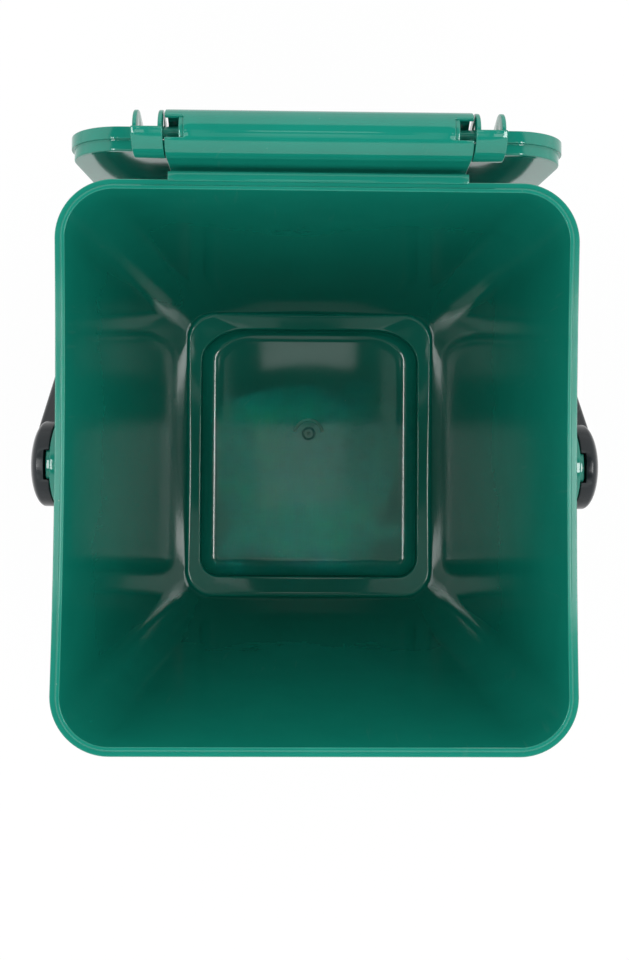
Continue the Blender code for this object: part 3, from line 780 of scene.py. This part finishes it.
def makeHood():
    sheet, edge, valleyRound = hood["sheet"], tub["edgeRound"], hood["valleyRound"]
    bend = valleyRound * hood["roundShare"]
    windowRear = acos(hood["windowRear"] / hood["rearReach"])
    windowFront = acos(-hood["windowFront"] / hood["frontReach"])
    turns = (-hood["rearDrop"], windowRear, windowFront, pi)
    angles = [start + (end - start) * step / steps
              for start, end, steps in zip(turns, turns[1:], hood["arcSteps"]) for step in range(steps)]
    shelfTop = tub["rimTop"] - hood["shelfDrop"]
    shelfEnd = rimOutline["rear"] + hood["shelfWidth"]
    valleyFloor = shelfTop - hood["valleyDepth"]
    valleyRear = shelfEnd + hood["valleyWidth"]
    under = valleyFloor - sheet
    insideRim = rimOutline["rear"] - hood["rootInRim"]

    outerSection = [archPoint(0, angle) for angle in angles + [pi]] + [
        (valleyRear, valleyFloor + valleyRound), (valleyRear - bend, valleyFloor + bend),
        (valleyRear - valleyRound, valleyFloor), (shelfEnd + valleyRound, valleyFloor),
        (shelfEnd + bend, valleyFloor + bend), (shelfEnd, valleyFloor + valleyRound),
        (shelfEnd, shelfTop - edge), (shelfEnd - edge / 3, shelfTop - edge / 3),
        (shelfEnd - edge, shelfTop), (insideRim, shelfTop)]
    innerSection = [archPoint(sheet, angle) for angle in angles + [pi]] + [
        (valleyRear + sheet, valleyFloor + valleyRound),
        (valleyRear + hood["underShare"] * sheet, under + hood["underRound"]),
        (valleyRear + sheet / 2, under)]
    for step in range(1, hood["underSteps"] + 1):
        innerSection.append((valleyRear + (insideRim - valleyRear) * step / hood["underSteps"], under))
    inner = [-windowInner + 2 * windowInner * step / hood["lengthDivisions"]
             for step in range(hood["lengthDivisions"] + 1)]
    halfway = (hood["halfLength"] + windowInner) / 2
    stops = [-hood["halfLength"], -halfway] + inner + [halfway, hood["halfLength"]]
    outer = [[Vector((x, y, z)) for y, z in outerSection] for x in stops]
    innerGrid = [[Vector((x, y, z)) for y, z in innerSection] for x in stops]
    firstOpen, openSteps, _ = hood["arcSteps"]

    def isWindow(i, j):
        # two cells at each end of the hood
        atEnd = i < 2 or i >= len(stops) - 3
        return atEnd and firstOpen <= j < firstOpen + openSteps

    mesh = bmesh.new()
    addGridShell(mesh, outer, innerGrid, isWindow)
    piece = objectFrom("hingeHood", mesh)
    softenEdges(piece, hood["softEdge"], angle=50)
    dress(piece, greenPlastic, "tub", "tub_green", sharp=60)


def webSection(drop):
    # a web under the hood, from the rear wall out to a round head inside the hood's sheet
    half, steps = hood["sheet"] / 2, hood["headSteps"]
    footY = mouthOutline["rear"] - drop * rearWallDraft + tub["wall"] / 2
    valleyUnder = tub["rimTop"] - hood["shelfDrop"] - hood["valleyDepth"] - half
    head = [archPoint(half, -hood["rearDrop"] + (pi + hood["rearDrop"]) * step / steps)
            for step in range(steps + 1)]
    return head + [(rimOutline["rear"] + hood["shelfWidth"] + hood["valleyWidth"] + half, valleyUnder),
                   (rimOutline["rear"] - hood["rootInRim"], valleyUnder), (footY, tub["rimTop"] - drop)]


def borePinHole(piece, startX, endX):
    radius = pin["radius"] + runningGap
    rings = turnedRings([(startX, radius), (endX, radius)], hingeAxis, pin["sides"])
    cutAway(piece, fromRings("borer", rings))


def makeWebs():
    # the bearing plates' toes stop the open lid
    lean = 3 * pi / 2 - lidOpenAngle
    behindRim = hingeAxis.y - rimOutline["rear"]
    lidFace = lidFlangeRise - (hingeAxis.z - tub["rimTop"]) + runningGap
    toe = []
    for below in (behindRim + hood["stopHeight"], behindRim - hood["toeRise"]):
        toe.append((hingeAxis.y - lidFace * cos(lean) + below * sin(lean),
                    hingeAxis.z - lidFace * sin(lean) - below * cos(lean)))
    section = webSection(hood["gussetDrop"] + hood["stopHeight"]) + toe
    for side, name in ((-1, "bearingPlateLeft"), (1, "bearingPlateRight")):
        face = side * plateOuter
        plate = fromPlate(name, section, face, side * (plateOuter - hood["plate"]))
        borePinHole(plate, *(face + end for end in pin["plateBorer"]))
        softenEdges(plate, hood["softEdge"], segments=2)
        dress(plate, greenPlastic, "tub", "tub_green")
    section = webSection(hood["gussetDrop"])
    for number, share in enumerate(hood["gussetShares"], 1):
        middle, half = share * hood["halfLength"], hood["gusset"] / 2
        gusset = fromPlate("hoodGusset%d" % number, section, middle - half, middle + half)
        softenEdges(gusset, hood["softEdge"], segments=2)
        dress(gusset, greenPlastic, "tub", "tub_green")


def makePins():
    inner = plateOuter - hood["plate"] - pin["pastPlate"]
    outer = knuckle["inner"] + knuckle["length"]
    radius, edge = pin["radius"], pin["edge"]
    rounded = [(0, pin["tip"]), (0, radius - edge), (edge / 3, radius - edge / 4), (edge, radius)]
    profile = [(inner + x, r) for x, r in rounded] + [(outer - x, r) for x, r in reversed(rounded)]
    for side, name, node in ((-1, "pinLeft", "hinge_pin_left"), (1, "pinRight", "hinge_pin_right")):
        rings = turnedRings([(side * x, r) for x, r in profile], hingeAxis, pin["sides"])
        dress(fromRings(name, rings), greenPlastic, "lid", "pin_green", node)


# Pivot bosses on the tub's sides, each with the key that holds the handle's hub on

boss = {
    "radius": 24 * mm,
    "proud": 6.7 * mm,
    "rim": 3 * mm,
    "recess": 7 * mm,
    "spigotRadius": 7.8 * mm,
    "spigotLength": 8.3 * mm,
    "faceRound": 0.9 * mm,
    "mouthRound": 0.7 * mm,
    "deepRound": 1.2 * mm,
    "tip": 0.3 * mm,
    "sides": 96,
    "keyRadius": 21.8 * mm,
    "keyHalfWidth": 7.8 * mm,
    "keyProud": 2.4 * mm,
    "keyRoot": 1 * mm,
    "keyEdge": 0.6 * mm,
    "keySteps": 16,
}
bossFace = rimOutline["halfWidth"] + boss["proud"]


def makeBosses():
    middle = (pivotAxis.y, pivotAxis.z)
    deep, end = bossFace - boss["recess"], bossFace + boss["spigotLength"]
    radius, mouth, spigot = boss["radius"], boss["radius"] - boss["rim"], boss["spigotRadius"]
    profile = ((bossFace, radius, boss["faceRound"]), (bossFace, mouth, boss["mouthRound"]),
               (deep, mouth, boss["deepRound"]), (deep, spigot, boss["deepRound"]),
               (end, spigot, boss["faceRound"]))
    half = boss["keyHalfWidth"]
    lean = asin(half / boss["keyRadius"])
    key = arcPoints(middle, boss["keyRadius"], pi / 2 - lean, pi / 2 + lean, boss["keySteps"])
    key += [(pivotAxis.y - half, pivotAxis.z), (pivotAxis.y + half, pivotAxis.z)]
    for side, name in ((-1, "Left"), (1, "Right")):
        root = []
        for y, z in arcPoints(middle, radius, 0, 2 * pi, boss["sides"])[:-1]:
            outline = wallOutline(z)
            root.append(Vector((side * (outline["halfWidth"] - outline["bow"] + tub["wall"] / 2), y, z)))
        stations = [(root, 0, 2)]
        for x, ringRadius, fillet in profile:
            stations.append((turnedRings([(side * x, ringRadius)], pivotAxis)[0], fillet, 2))
        stations.append((turnedRings([(side * end, boss["tip"])], pivotAxis)[0], 0, 1))
        dress(fromRings("pivotBoss" + name, roundedProfile(stations)), greenPlastic, "tub", "tub_green")
        piece = fromPlate("pivotKey" + name, key, side * (deep - boss["keyRoot"]),
                          side * (bossFace + boss["keyProud"]))
        softenEdges(piece, boss["keyEdge"])
        dress(piece, greenPlastic, "tub", "tub_green")


# Lid, built closed on the tub and then folded back about the hinge

lid = {
    "overlap": 4.68 * mm,
    "skirt": 1.6 * mm,
    "clearance": 0.4 * mm,
    "seat": 0.3 * mm,
    "sheet": 2 * mm,
    "stepRise": 1.9 * mm,
    "leadIn": 0.9 * mm,
    "leadInRise": 2.5 * mm,
    "flangeWidth": 58 * mm,
    "flangeDivisions": 24,
    "recess": 8 * mm,
    "recessDraft": 3 * mm,
    "recessCorner": 18 * mm,
    "panelInset": 3 * mm,
    "panelRings": 14,
    "softEdge": 0.8 * mm,
    "lipReach": 7 * mm,
    "lipHalfLength": 42 * mm,
    "lipCorner": 5 * mm,
    "lipDrop": 0.5 * mm,
    "lipSoftEdge": 0.5 * mm,
    "lipSteps": 8,
}
knuckle = {
    "inner": hood["halfLength"] + 0.6 * mm,
    "length": 15.9 * mm,
    "cheek": 2.1 * mm,
    "cheekRadius": 11.3 * mm,
    "cheekStart": -2 * pi / 3,
    "cheekInset": 0.5 * mm,
    "cheekSoftEdge": 0.45 * mm,
    "cheekSteps": 36,
    "bandRadius": 13 * mm,
    "bandSheet": 2 * mm,
    "bandSoftEdge": 0.5 * mm,
    "bandSteps": 28,
    "rampAngle": 0.62 * pi,
    "seam": 0.5 * mm,
}
lidFold = (Matrix.Translation(hingeAxis) @ Matrix.Rotation(-lidOpenAngle, 4, "X")
           @ Matrix.Translation(-hingeAxis))
lidTop = tub["rimTop"] + lidFlangeRise
lidStepTop = tub["rimTop"] + lid["stepRise"]


def makeLidShell():
    grow = lid["clearance"] + lid["skirt"]
    skirt = {**{key: value + grow for key, value in rimOutline.items()}, "bow": 0}
    opening = {**{key: skirt[key] - lid["flangeWidth"] for key in ("halfWidth", "front", "rear")},
               "cornerFront": lid["recessCorner"], "cornerRear": lid["recessCorner"], "bow": 0}
    wall, sheet, edge, draft = lid["skirt"], lid["sheet"], lid["softEdge"], lid["recessDraft"]
    under = lidTop - sheet
    seat = tub["rimTop"] + lid["seat"]
    hem = tub["rimTop"] - lid["overlap"]
    panel = lidTop - lid["recess"]
    stations = [
        (outlineRing(opening, draft + lid["panelInset"], panel), 0, 1),
        (outlineRing(opening, draft, panel), edge * 1.5, 2),
        (outlineRing(opening, 0, lidTop), edge * 1.2, lid["flangeDivisions"]),
        (outlineRing(skirt, wall, lidTop), edge, 3),
        (outlineRing(skirt, wall, lidStepTop), edge / 2, 1),
        (outlineRing(skirt, 0, lidStepTop), edge / 2, 2),
        (outlineRing(skirt, 0, hem), edge / 2, 1),
        (outlineRing(skirt, wall - lid["leadIn"], hem), edge / 4, 1),
        (outlineRing(skirt, wall, hem + lid["leadInRise"]), edge / 2, 2),
        (outlineRing(skirt, wall, seat), edge / 3, 1),
        (outlineRing(skirt, wall + sheet, seat), edge / 2, 2),
        (outlineRing(skirt, wall + sheet, under), edge, 3),
        (outlineRing(opening, -sheet, under), edge, 2),
        (outlineRing(opening, draft - sheet, panel - sheet), edge * 1.5, 1),
        (outlineRing(opening, draft + lid["panelInset"], panel - sheet), 0, 1),
    ]
    mesh = bmesh.new()
    made = addRings(mesh, roundedProfile(stations), capStart=False, capEnd=False)
    addCentredCap(mesh, made[0], lid["panelRings"])
    addCentredCap(mesh, made[-1], lid["panelRings"])
    shell = objectFrom("lidShell", mesh)
    # the skirt is cut away between the knuckles' outer ends
    reach = knuckle["inner"] + knuckle["length"]
    near, far = rimOutline["rear"] - tub["rimWidth"], skirt["rear"] + overrun
    notch = ((near, hem - overrun), (far, hem - overrun), (far, lidStepTop), (near, lidStepTop))
    cutAway(shell, fromPlate("notch", notch, -reach, reach))
    shell.data.transform(lidFold)
    dress(shell, greenPlastic, "lid", "lid_green", "lid", sharp=45)


def makeKnuckles():
    rearFace = rimOutline["rear"] + lid["clearance"]
    insideLid = rearFace - lid["sheet"] / 2
    sheetMiddle = lidTop - lid["sheet"] / 2
    axisPoint = (hingeAxis.y, hingeAxis.z)
    ramp, cheekWidth = knuckle["rampAngle"], knuckle["cheek"]
    band = arcPoints(axisPoint, knuckle["bandRadius"], 0, ramp, knuckle["bandSteps"])
    band += [(rearFace, lidTop - knuckle["seam"]), (insideLid, sheetMiddle),
             (insideLid, lidStepTop + lid["sheet"]), (rearFace, lidStepTop + lid["sheet"])]
    band += arcPoints(axisPoint, knuckle["bandRadius"] - knuckle["bandSheet"], ramp, 0, knuckle["bandSteps"])
    cheek = arcPoints(axisPoint, knuckle["cheekRadius"], knuckle["cheekStart"], ramp, knuckle["cheekSteps"])
    cheek += [(insideLid, sheetMiddle), (insideLid, lidStepTop + knuckle["seam"])]
    innerStart = knuckle["inner"] + knuckle["cheekInset"]
    outerStart = knuckle["inner"] + knuckle["length"] - knuckle["cheekInset"] - cheekWidth
    for side, name in ((-1, "Left"), (1, "Right")):
        piece = fromPlate("knuckleBand" + name, band, side * knuckle["inner"],
                          side * (knuckle["inner"] + knuckle["length"]), lidFold)
        softenEdges(piece, knuckle["bandSoftEdge"], angle=35)
        dress(piece, greenPlastic, "lid", "lid_green", sharp=60)
        for place, start in (("Inner", innerStart), ("Outer", outerStart)):
            piece = fromPlate("knuckleCheek" + place + name, cheek, side * start, side * (start + cheekWidth))
            borePinHole(piece, *(side * (start + end) for end in pin["cheekBorer"]))
            piece.data.transform(lidFold)
            softenEdges(piece, knuckle["cheekSoftEdge"], angle=35)
            dress(piece, greenPlastic, "lid", "lid_green", sharp=60)


def makeLidLip():
    front = rimOutline["front"] + lid["clearance"] + lid["skirt"]
    inner, outer = -(front - lid["skirt"] - lid["sheet"] / 2), -(front + lid["lipReach"])
    half, corner, top = lid["lipHalfLength"], lid["lipCorner"], lidTop - lid["lipDrop"]
    outline = [(-half, inner)]
    for side, start in ((-1, pi), (1, 3 * pi / 2)):
        for step in range(lid["lipSteps"] + 1):
            angle = start + step / lid["lipSteps"] * pi / 2
            outline.append((side * (half - corner) + corner * cos(angle),
                            outer + corner + corner * sin(angle)))
    outline.append((half, inner))
    rings = [[Vector((x, y, z)) for x, y in outline] for z in (top - lid["sheet"], top)]
    piece = fromRings("lidLip", rings, lidFold)
    softenEdges(piece, lid["lipSoftEdge"], angle=35)
    dress(piece, greenPlastic, "lid", "lid_green", sharp=60)


# Carrying handle, built level behind its pivots and then hung down against the tub

handle = {
    "hubRadius": 24 * mm,
    "hubEdge": 6 * mm,
    "hubDome": 7.2 * mm,
    "hubRound": 0.7 * mm,
    "hubBulge": 0.2 * mm,
    "hubTip": 1 * mm,
    "hubSoftEdge": 0.4 * mm,
    "domeSteps": 25,
    "boreEndGap": 0.6 * mm,
    "boreSides": 64,
    "groove": 2.9 * mm,
    "notchReach": 30 * mm,
    "clearsHinge": 16.6 * mm,
    "corner": 36 * mm,
    "armPastHubEdge": 8.4 * mm,
    "armStartRadius": 16.5 * mm,
    "armThickness": 11.4 * mm,
    "armWidth": 20 * mm,
    "gripThickness": 16 * mm,
    "gripWidth": 18 * mm,
    "gripRestGap": 0.7 * mm,
    "roundShare": 0.5,             # of half the thickness, on the arms
    "gripRoundMore": 0.3,          # and this much more on the grip
    "softEdge": 0.7 * mm,
    "armSteps": 8,
    "cornerSteps": 28,
    "gripSteps": 9,
    "quarterSteps": 8,
}
handleReach = (hypot(hingeAxis.y, hingeAxis.z - pivotAxis.z) + knuckle["bandRadius"] + handle["clearsHinge"]
               + handle["gripThickness"] / 2)
wallSlant = hypot(1, rearWallDraft)
wallAtPivot = mouthOutline["rear"] + tub["wall"] - (tub["rimTop"] - pivotAxis.z) * rearWallDraft
gripMiddle = wallAtPivot + (handle["gripWidth"] / 2 + handle["gripRestGap"]) * wallSlant
hangAngle = atan(rearWallDraft) + acos(gripMiddle / (handleReach * wallSlant))
handleHang = Matrix.Translation(pivotAxis) @ Matrix.Rotation(-hangAngle, 4, "X")
hubInner = bossFace + runningGap
hubEdgeEnd = hubInner + handle["hubEdge"]


def bailStations(armMiddle):
    # (middle of the section, outward direction, share of the way from arm to grip), hub to hub
    corner, arm, bend, grip = (handle[key] for key in ("corner", "armSteps", "cornerSteps", "gripSteps"))
    stations = []
    for step in range(arm):
        stations.append((Vector((armMiddle, (handleReach - corner) * step / arm, 0)), Vector((1, 0, 0)), 0))
    for step in range(bend + 1):
        angle = step / bend * pi / 2
        outward = Vector((cos(angle), sin(angle), 0))
        middle = Vector((armMiddle - corner, handleReach - corner, 0)) + outward * corner
        stations.append((middle, outward, step / bend))
    for step in range(1, grip):
        middle = Vector(((armMiddle - corner) * (1 - step / grip), handleReach, 0))
        stations.append((middle, Vector((0, 1, 0)), 1))
    return stations + [(Vector((-p.x, p.y, 0)), Vector((-o.x, o.y, 0)), share)
                       for p, o, share in reversed(stations)]


def makeBail():
    thickness, width, steps = handle["armThickness"], handle["armWidth"], handle["quarterSteps"]
    armMiddle = hubEdgeEnd + handle["armPastHubEdge"] - thickness / 2
    rings = []
    for middle, outward, share in bailStations(armMiddle):
        halfThickness = (thickness + (handle["gripThickness"] - thickness) * share) / 2
        halfWidth = (width + (handle["gripWidth"] - width) * share) / 2
        fillet = halfThickness * (handle["roundShare"] + handle["gripRoundMore"] * share)
        ring = []
        for quadrant, (side, up) in enumerate(((1, 1), (-1, 1), (-1, -1), (1, -1))):
            for step in range(steps + 1):
                angle = (quadrant + step / steps) * pi / 2
                across = side * (halfThickness - fillet) + fillet * cos(angle)
                height = up * (halfWidth - fillet) + fillet * sin(angle)
                ring.append(middle + outward * across + Vector((0, 0, height)))
        rings.append(ring)
    bail = fromRings("handleBail", rings)
    # the arms start on a circle inside the hubs
    for side in (-1, 1):
        reach = [(side * x, handle["armStartRadius"]) for x in (hubInner, armMiddle + thickness)]
        cutAway(bail, fromRings("rounder", turnedRings(reach, Vector())))
    softenEdges(bail, handle["softEdge"], angle=50)
    bail.data.transform(handleHang)
    dress(bail, blackPlastic, "handle", "handle_black", "handle")


def makeHubs():
    radius, fillet, bulge = handle["hubRadius"], handle["hubRound"], handle["hubBulge"]
    boreEnd = bossFace + boss["spigotLength"] + handle["boreEndGap"]
    boreRadius = boss["spigotRadius"] + runningGap
    grooveRadius = boss["keyRadius"] + runningGap
    half = boss["keyHalfWidth"] + runningGap
    profile = [(hubInner, handle["hubTip"]), (hubInner, radius - fillet),
               (hubInner + bulge, radius - bulge), (hubInner + fillet, radius)]
    for step in range(handle["domeSteps"]):
        angle = step / handle["domeSteps"] * pi / 2
        profile.append((hubEdgeEnd + handle["hubDome"] * sin(angle), radius * cos(angle)))
    for side, name in ((-1, "handleHubLeft"), (1, "handleHubRight")):
        hub = fromRings(name, turnedRings([(side * x, r) for x, r in profile], Vector()))
        mouth, grooveEnd = side * (hubInner - overrun), side * (hubInner + handle["groove"])
        bore = [(mouth, grooveRadius), (grooveEnd, grooveRadius), (grooveEnd, boreRadius),
                (side * boreEnd, boreRadius)]
        cutAway(hub, fromRings("borer", turnedRings(bore, Vector(), handle["boreSides"])))
        # the way in for the key
        notch = ((-half, 0), (half, 0), (half, handle["notchReach"]), (-half, handle["notchReach"]))
        cutAway(hub, fromPlate("notch", notch, mouth, grooveEnd, Matrix.Rotation(hangAngle, 4, "X")))
        softenEdges(hub, handle["hubSoftEdge"], angle=50)
        hub.data.transform(handleHang)
        dress(hub, blackPlastic, "handle", "handle_black", sharp=35)


makeHood()
makeWebs()
makePins()
makeBosses()
print("hinge hood, webs, pins and pivot bosses made")
makeLidShell()
makeKnuckles()
makeLidLip()
print("lid made")
makeBail()
makeHubs()
print("handle made")


# Floor, world and lamps

studio = {
    "floorSize": 6.0,
    "floorGap": 0.2 * mm,
    "floorColour": (0.8, 0.8, 0.8),
    "floorRoughness": 0.8,
    "floorGlow": 0.93,
    "surroundings": 1.25,      # brightness of the white room, all round and up to the ceiling
    "ceiling": 0.04,           # the dark ceiling straight above, as gloss shows it
    "ceilingFill": 0.45,       # and as it lights matt colour
    "ceilingEdge": (0.80, 0.88),
    "lampHeight": 2200 * mm,
}


def makeFloor():
    mesh = bmesh.new()
    bmesh.ops.create_grid(mesh, x_segments=1, y_segments=1, size=studio["floorSize"] / 2)
    floor = objectFrom("studioFloor", mesh, Matrix.Translation((0, 0, tubLow.z - studio["floorGap"])))
    material = bpy.data.materials.new("studioFloor")
    material.use_nodes = True
    tree = material.node_tree
    shader = tree.nodes["Principled BSDF"]
    shader.inputs["Base Color"].default_value = (*studio["floorColour"], 1)
    shader.inputs["Roughness"].default_value = studio["floorRoughness"]
    glow = addNode(tree, "ShaderNodeEmission", Color=(1, 1, 1, 1), Strength=1)
    rays = addNode(tree, "ShaderNodeLightPath")
    seen = addMath(tree, "ADD", rays.outputs["Is Camera Ray"], rays.outputs["Is Glossy Ray"])
    seen = addMath(tree, "ADD", seen, rays.outputs["Is Transmission Ray"], clamp=True)
    share = addMath(tree, "MULTIPLY", seen, studio["floorGlow"])
    mix = addNode(tree, "ShaderNodeMixShader")
    for index, output in enumerate((share, shader.outputs[0], glow.outputs[0])):
        tree.links.new(output, mix.inputs[index])
    tree.links.new(mix.outputs[0], tree.nodes["Material Output"].inputs["Surface"])
    floor.data.materials.append(material)


def makeWorld():
    world = bpy.data.worlds.new("studioWorld")
    world.use_nodes = True
    tree = world.node_tree
    background = tree.nodes["Background"]
    background.inputs["Color"].default_value = (1, 1, 1, 1)
    direction = addNode(tree, "ShaderNodeTexCoord").outputs["Generated"]
    overhead = addBand(tree, heightOf(tree, direction), *studio["ceilingEdge"])
    rays = addNode(tree, "ShaderNodeLightPath")
    ceiling = addMath(tree, "MULTIPLY_ADD", rays.outputs["Is Diffuse Ray"],
                      studio["ceilingFill"] - studio["ceiling"], studio["ceiling"])
    drop = addMath(tree, "SUBTRACT", ceiling, studio["surroundings"])
    lit = addMath(tree, "MULTIPLY_ADD", overhead, drop, studio["surroundings"])
    toWhite = addMath(tree, "SUBTRACT", 1.0, lit)
    strength = addMath(tree, "MULTIPLY_ADD", rays.outputs["Is Camera Ray"], toWhite, lit)
    tree.links.new(strength, background.inputs["Strength"])
    bpy.context.scene.world = world


# each lamp in the ceiling: left, right, front and rear edge in metres, and the brightness of its face
lamps = {
    "middlePanel": (-0.14, 0.14, -0.20, 0.055, 0.85),
    "middlePanelFront": (-0.14, 0.14, -0.40, -0.20, 0.45),
    "leftField": (-0.285, -0.14, -0.40, 0.055, 0.40),
    "leftFieldRear": (-0.285, -0.225, 0.055, 0.36, 0.4),
    "rightField": (0.14, 0.33, -0.40, 0.055, 0.45),
    "rightFieldRear": (0.255, 0.33, 0.055, 0.36, 0.45),
    "rearPanel": (-0.127, 0.172, 0.24, 0.36, 1.6),
    "leftPanel": (-0.80, -0.46, -0.38, 0.055, 2.0),
    "rightPanel": (0.50, 0.84, -0.38, 0.055, 2.3),
    "rearPanelLeft": (-0.72, -0.60, 0.23, 0.38, 2.2),
    "rearPanelRight": (0.60, 0.72, 0.23, 0.38, 2.2),
    "stripLeft": (-1.17, -0.87, -0.45, 0.40, 13.0),
    "stripRight": (0.87, 1.17, -0.45, 0.40, 15.0),
}
# light for the matt colour only, which gloss doesn't mirror: the same five, the height, the spread
fills = {
    "footFill": (-0.075, 0.075, -0.095, 0.045, 0.52, 2.2, radians(1.8)),
    "frontFill": (-0.30, 0.30, -1.15, -0.85, 12.0, 2.0, pi),
    "rearFill": (-0.30, 0.30, 0.85, 1.15, 5.0, 2.0, pi),
    "leftFill": (-1.15, -0.85, -0.30, 0.30, 9.0, 2.0, pi),
    "rightFill": (0.85, 1.15, -0.30, 0.30, 11.0, 2.0, pi),
}


def addLamp(name, edges, height, power):
    left, right, front, rear = edges
    light = bpy.data.lights.new(name, "AREA")
    light.shape = "RECTANGLE"
    light.size = right - left
    light.size_y = rear - front
    light.energy = power * light.size * light.size_y
    lamp = bpy.data.objects.new(name, light)
    lamp.location = ((left + right) / 2, (front + rear) / 2, height)
    lamp.visible_camera = False
    bpy.context.scene.collection.objects.link(lamp)
    return lamp


def makeLamps():
    for name, (*edges, brightness) in lamps.items():
        lamp = addLamp(name, edges, studio["lampHeight"], brightness * pi)
        lamp.visible_diffuse = not name.startswith("strip")
    for name, (*edges, brightness, height, spread) in fills.items():
        lamp = addLamp(name, edges, height, brightness * pi)
        lamp.data.spread = spread
        lamp.visible_glossy = False


makeFloor()
makeWorld()
makeLamps()
print("studio lit")
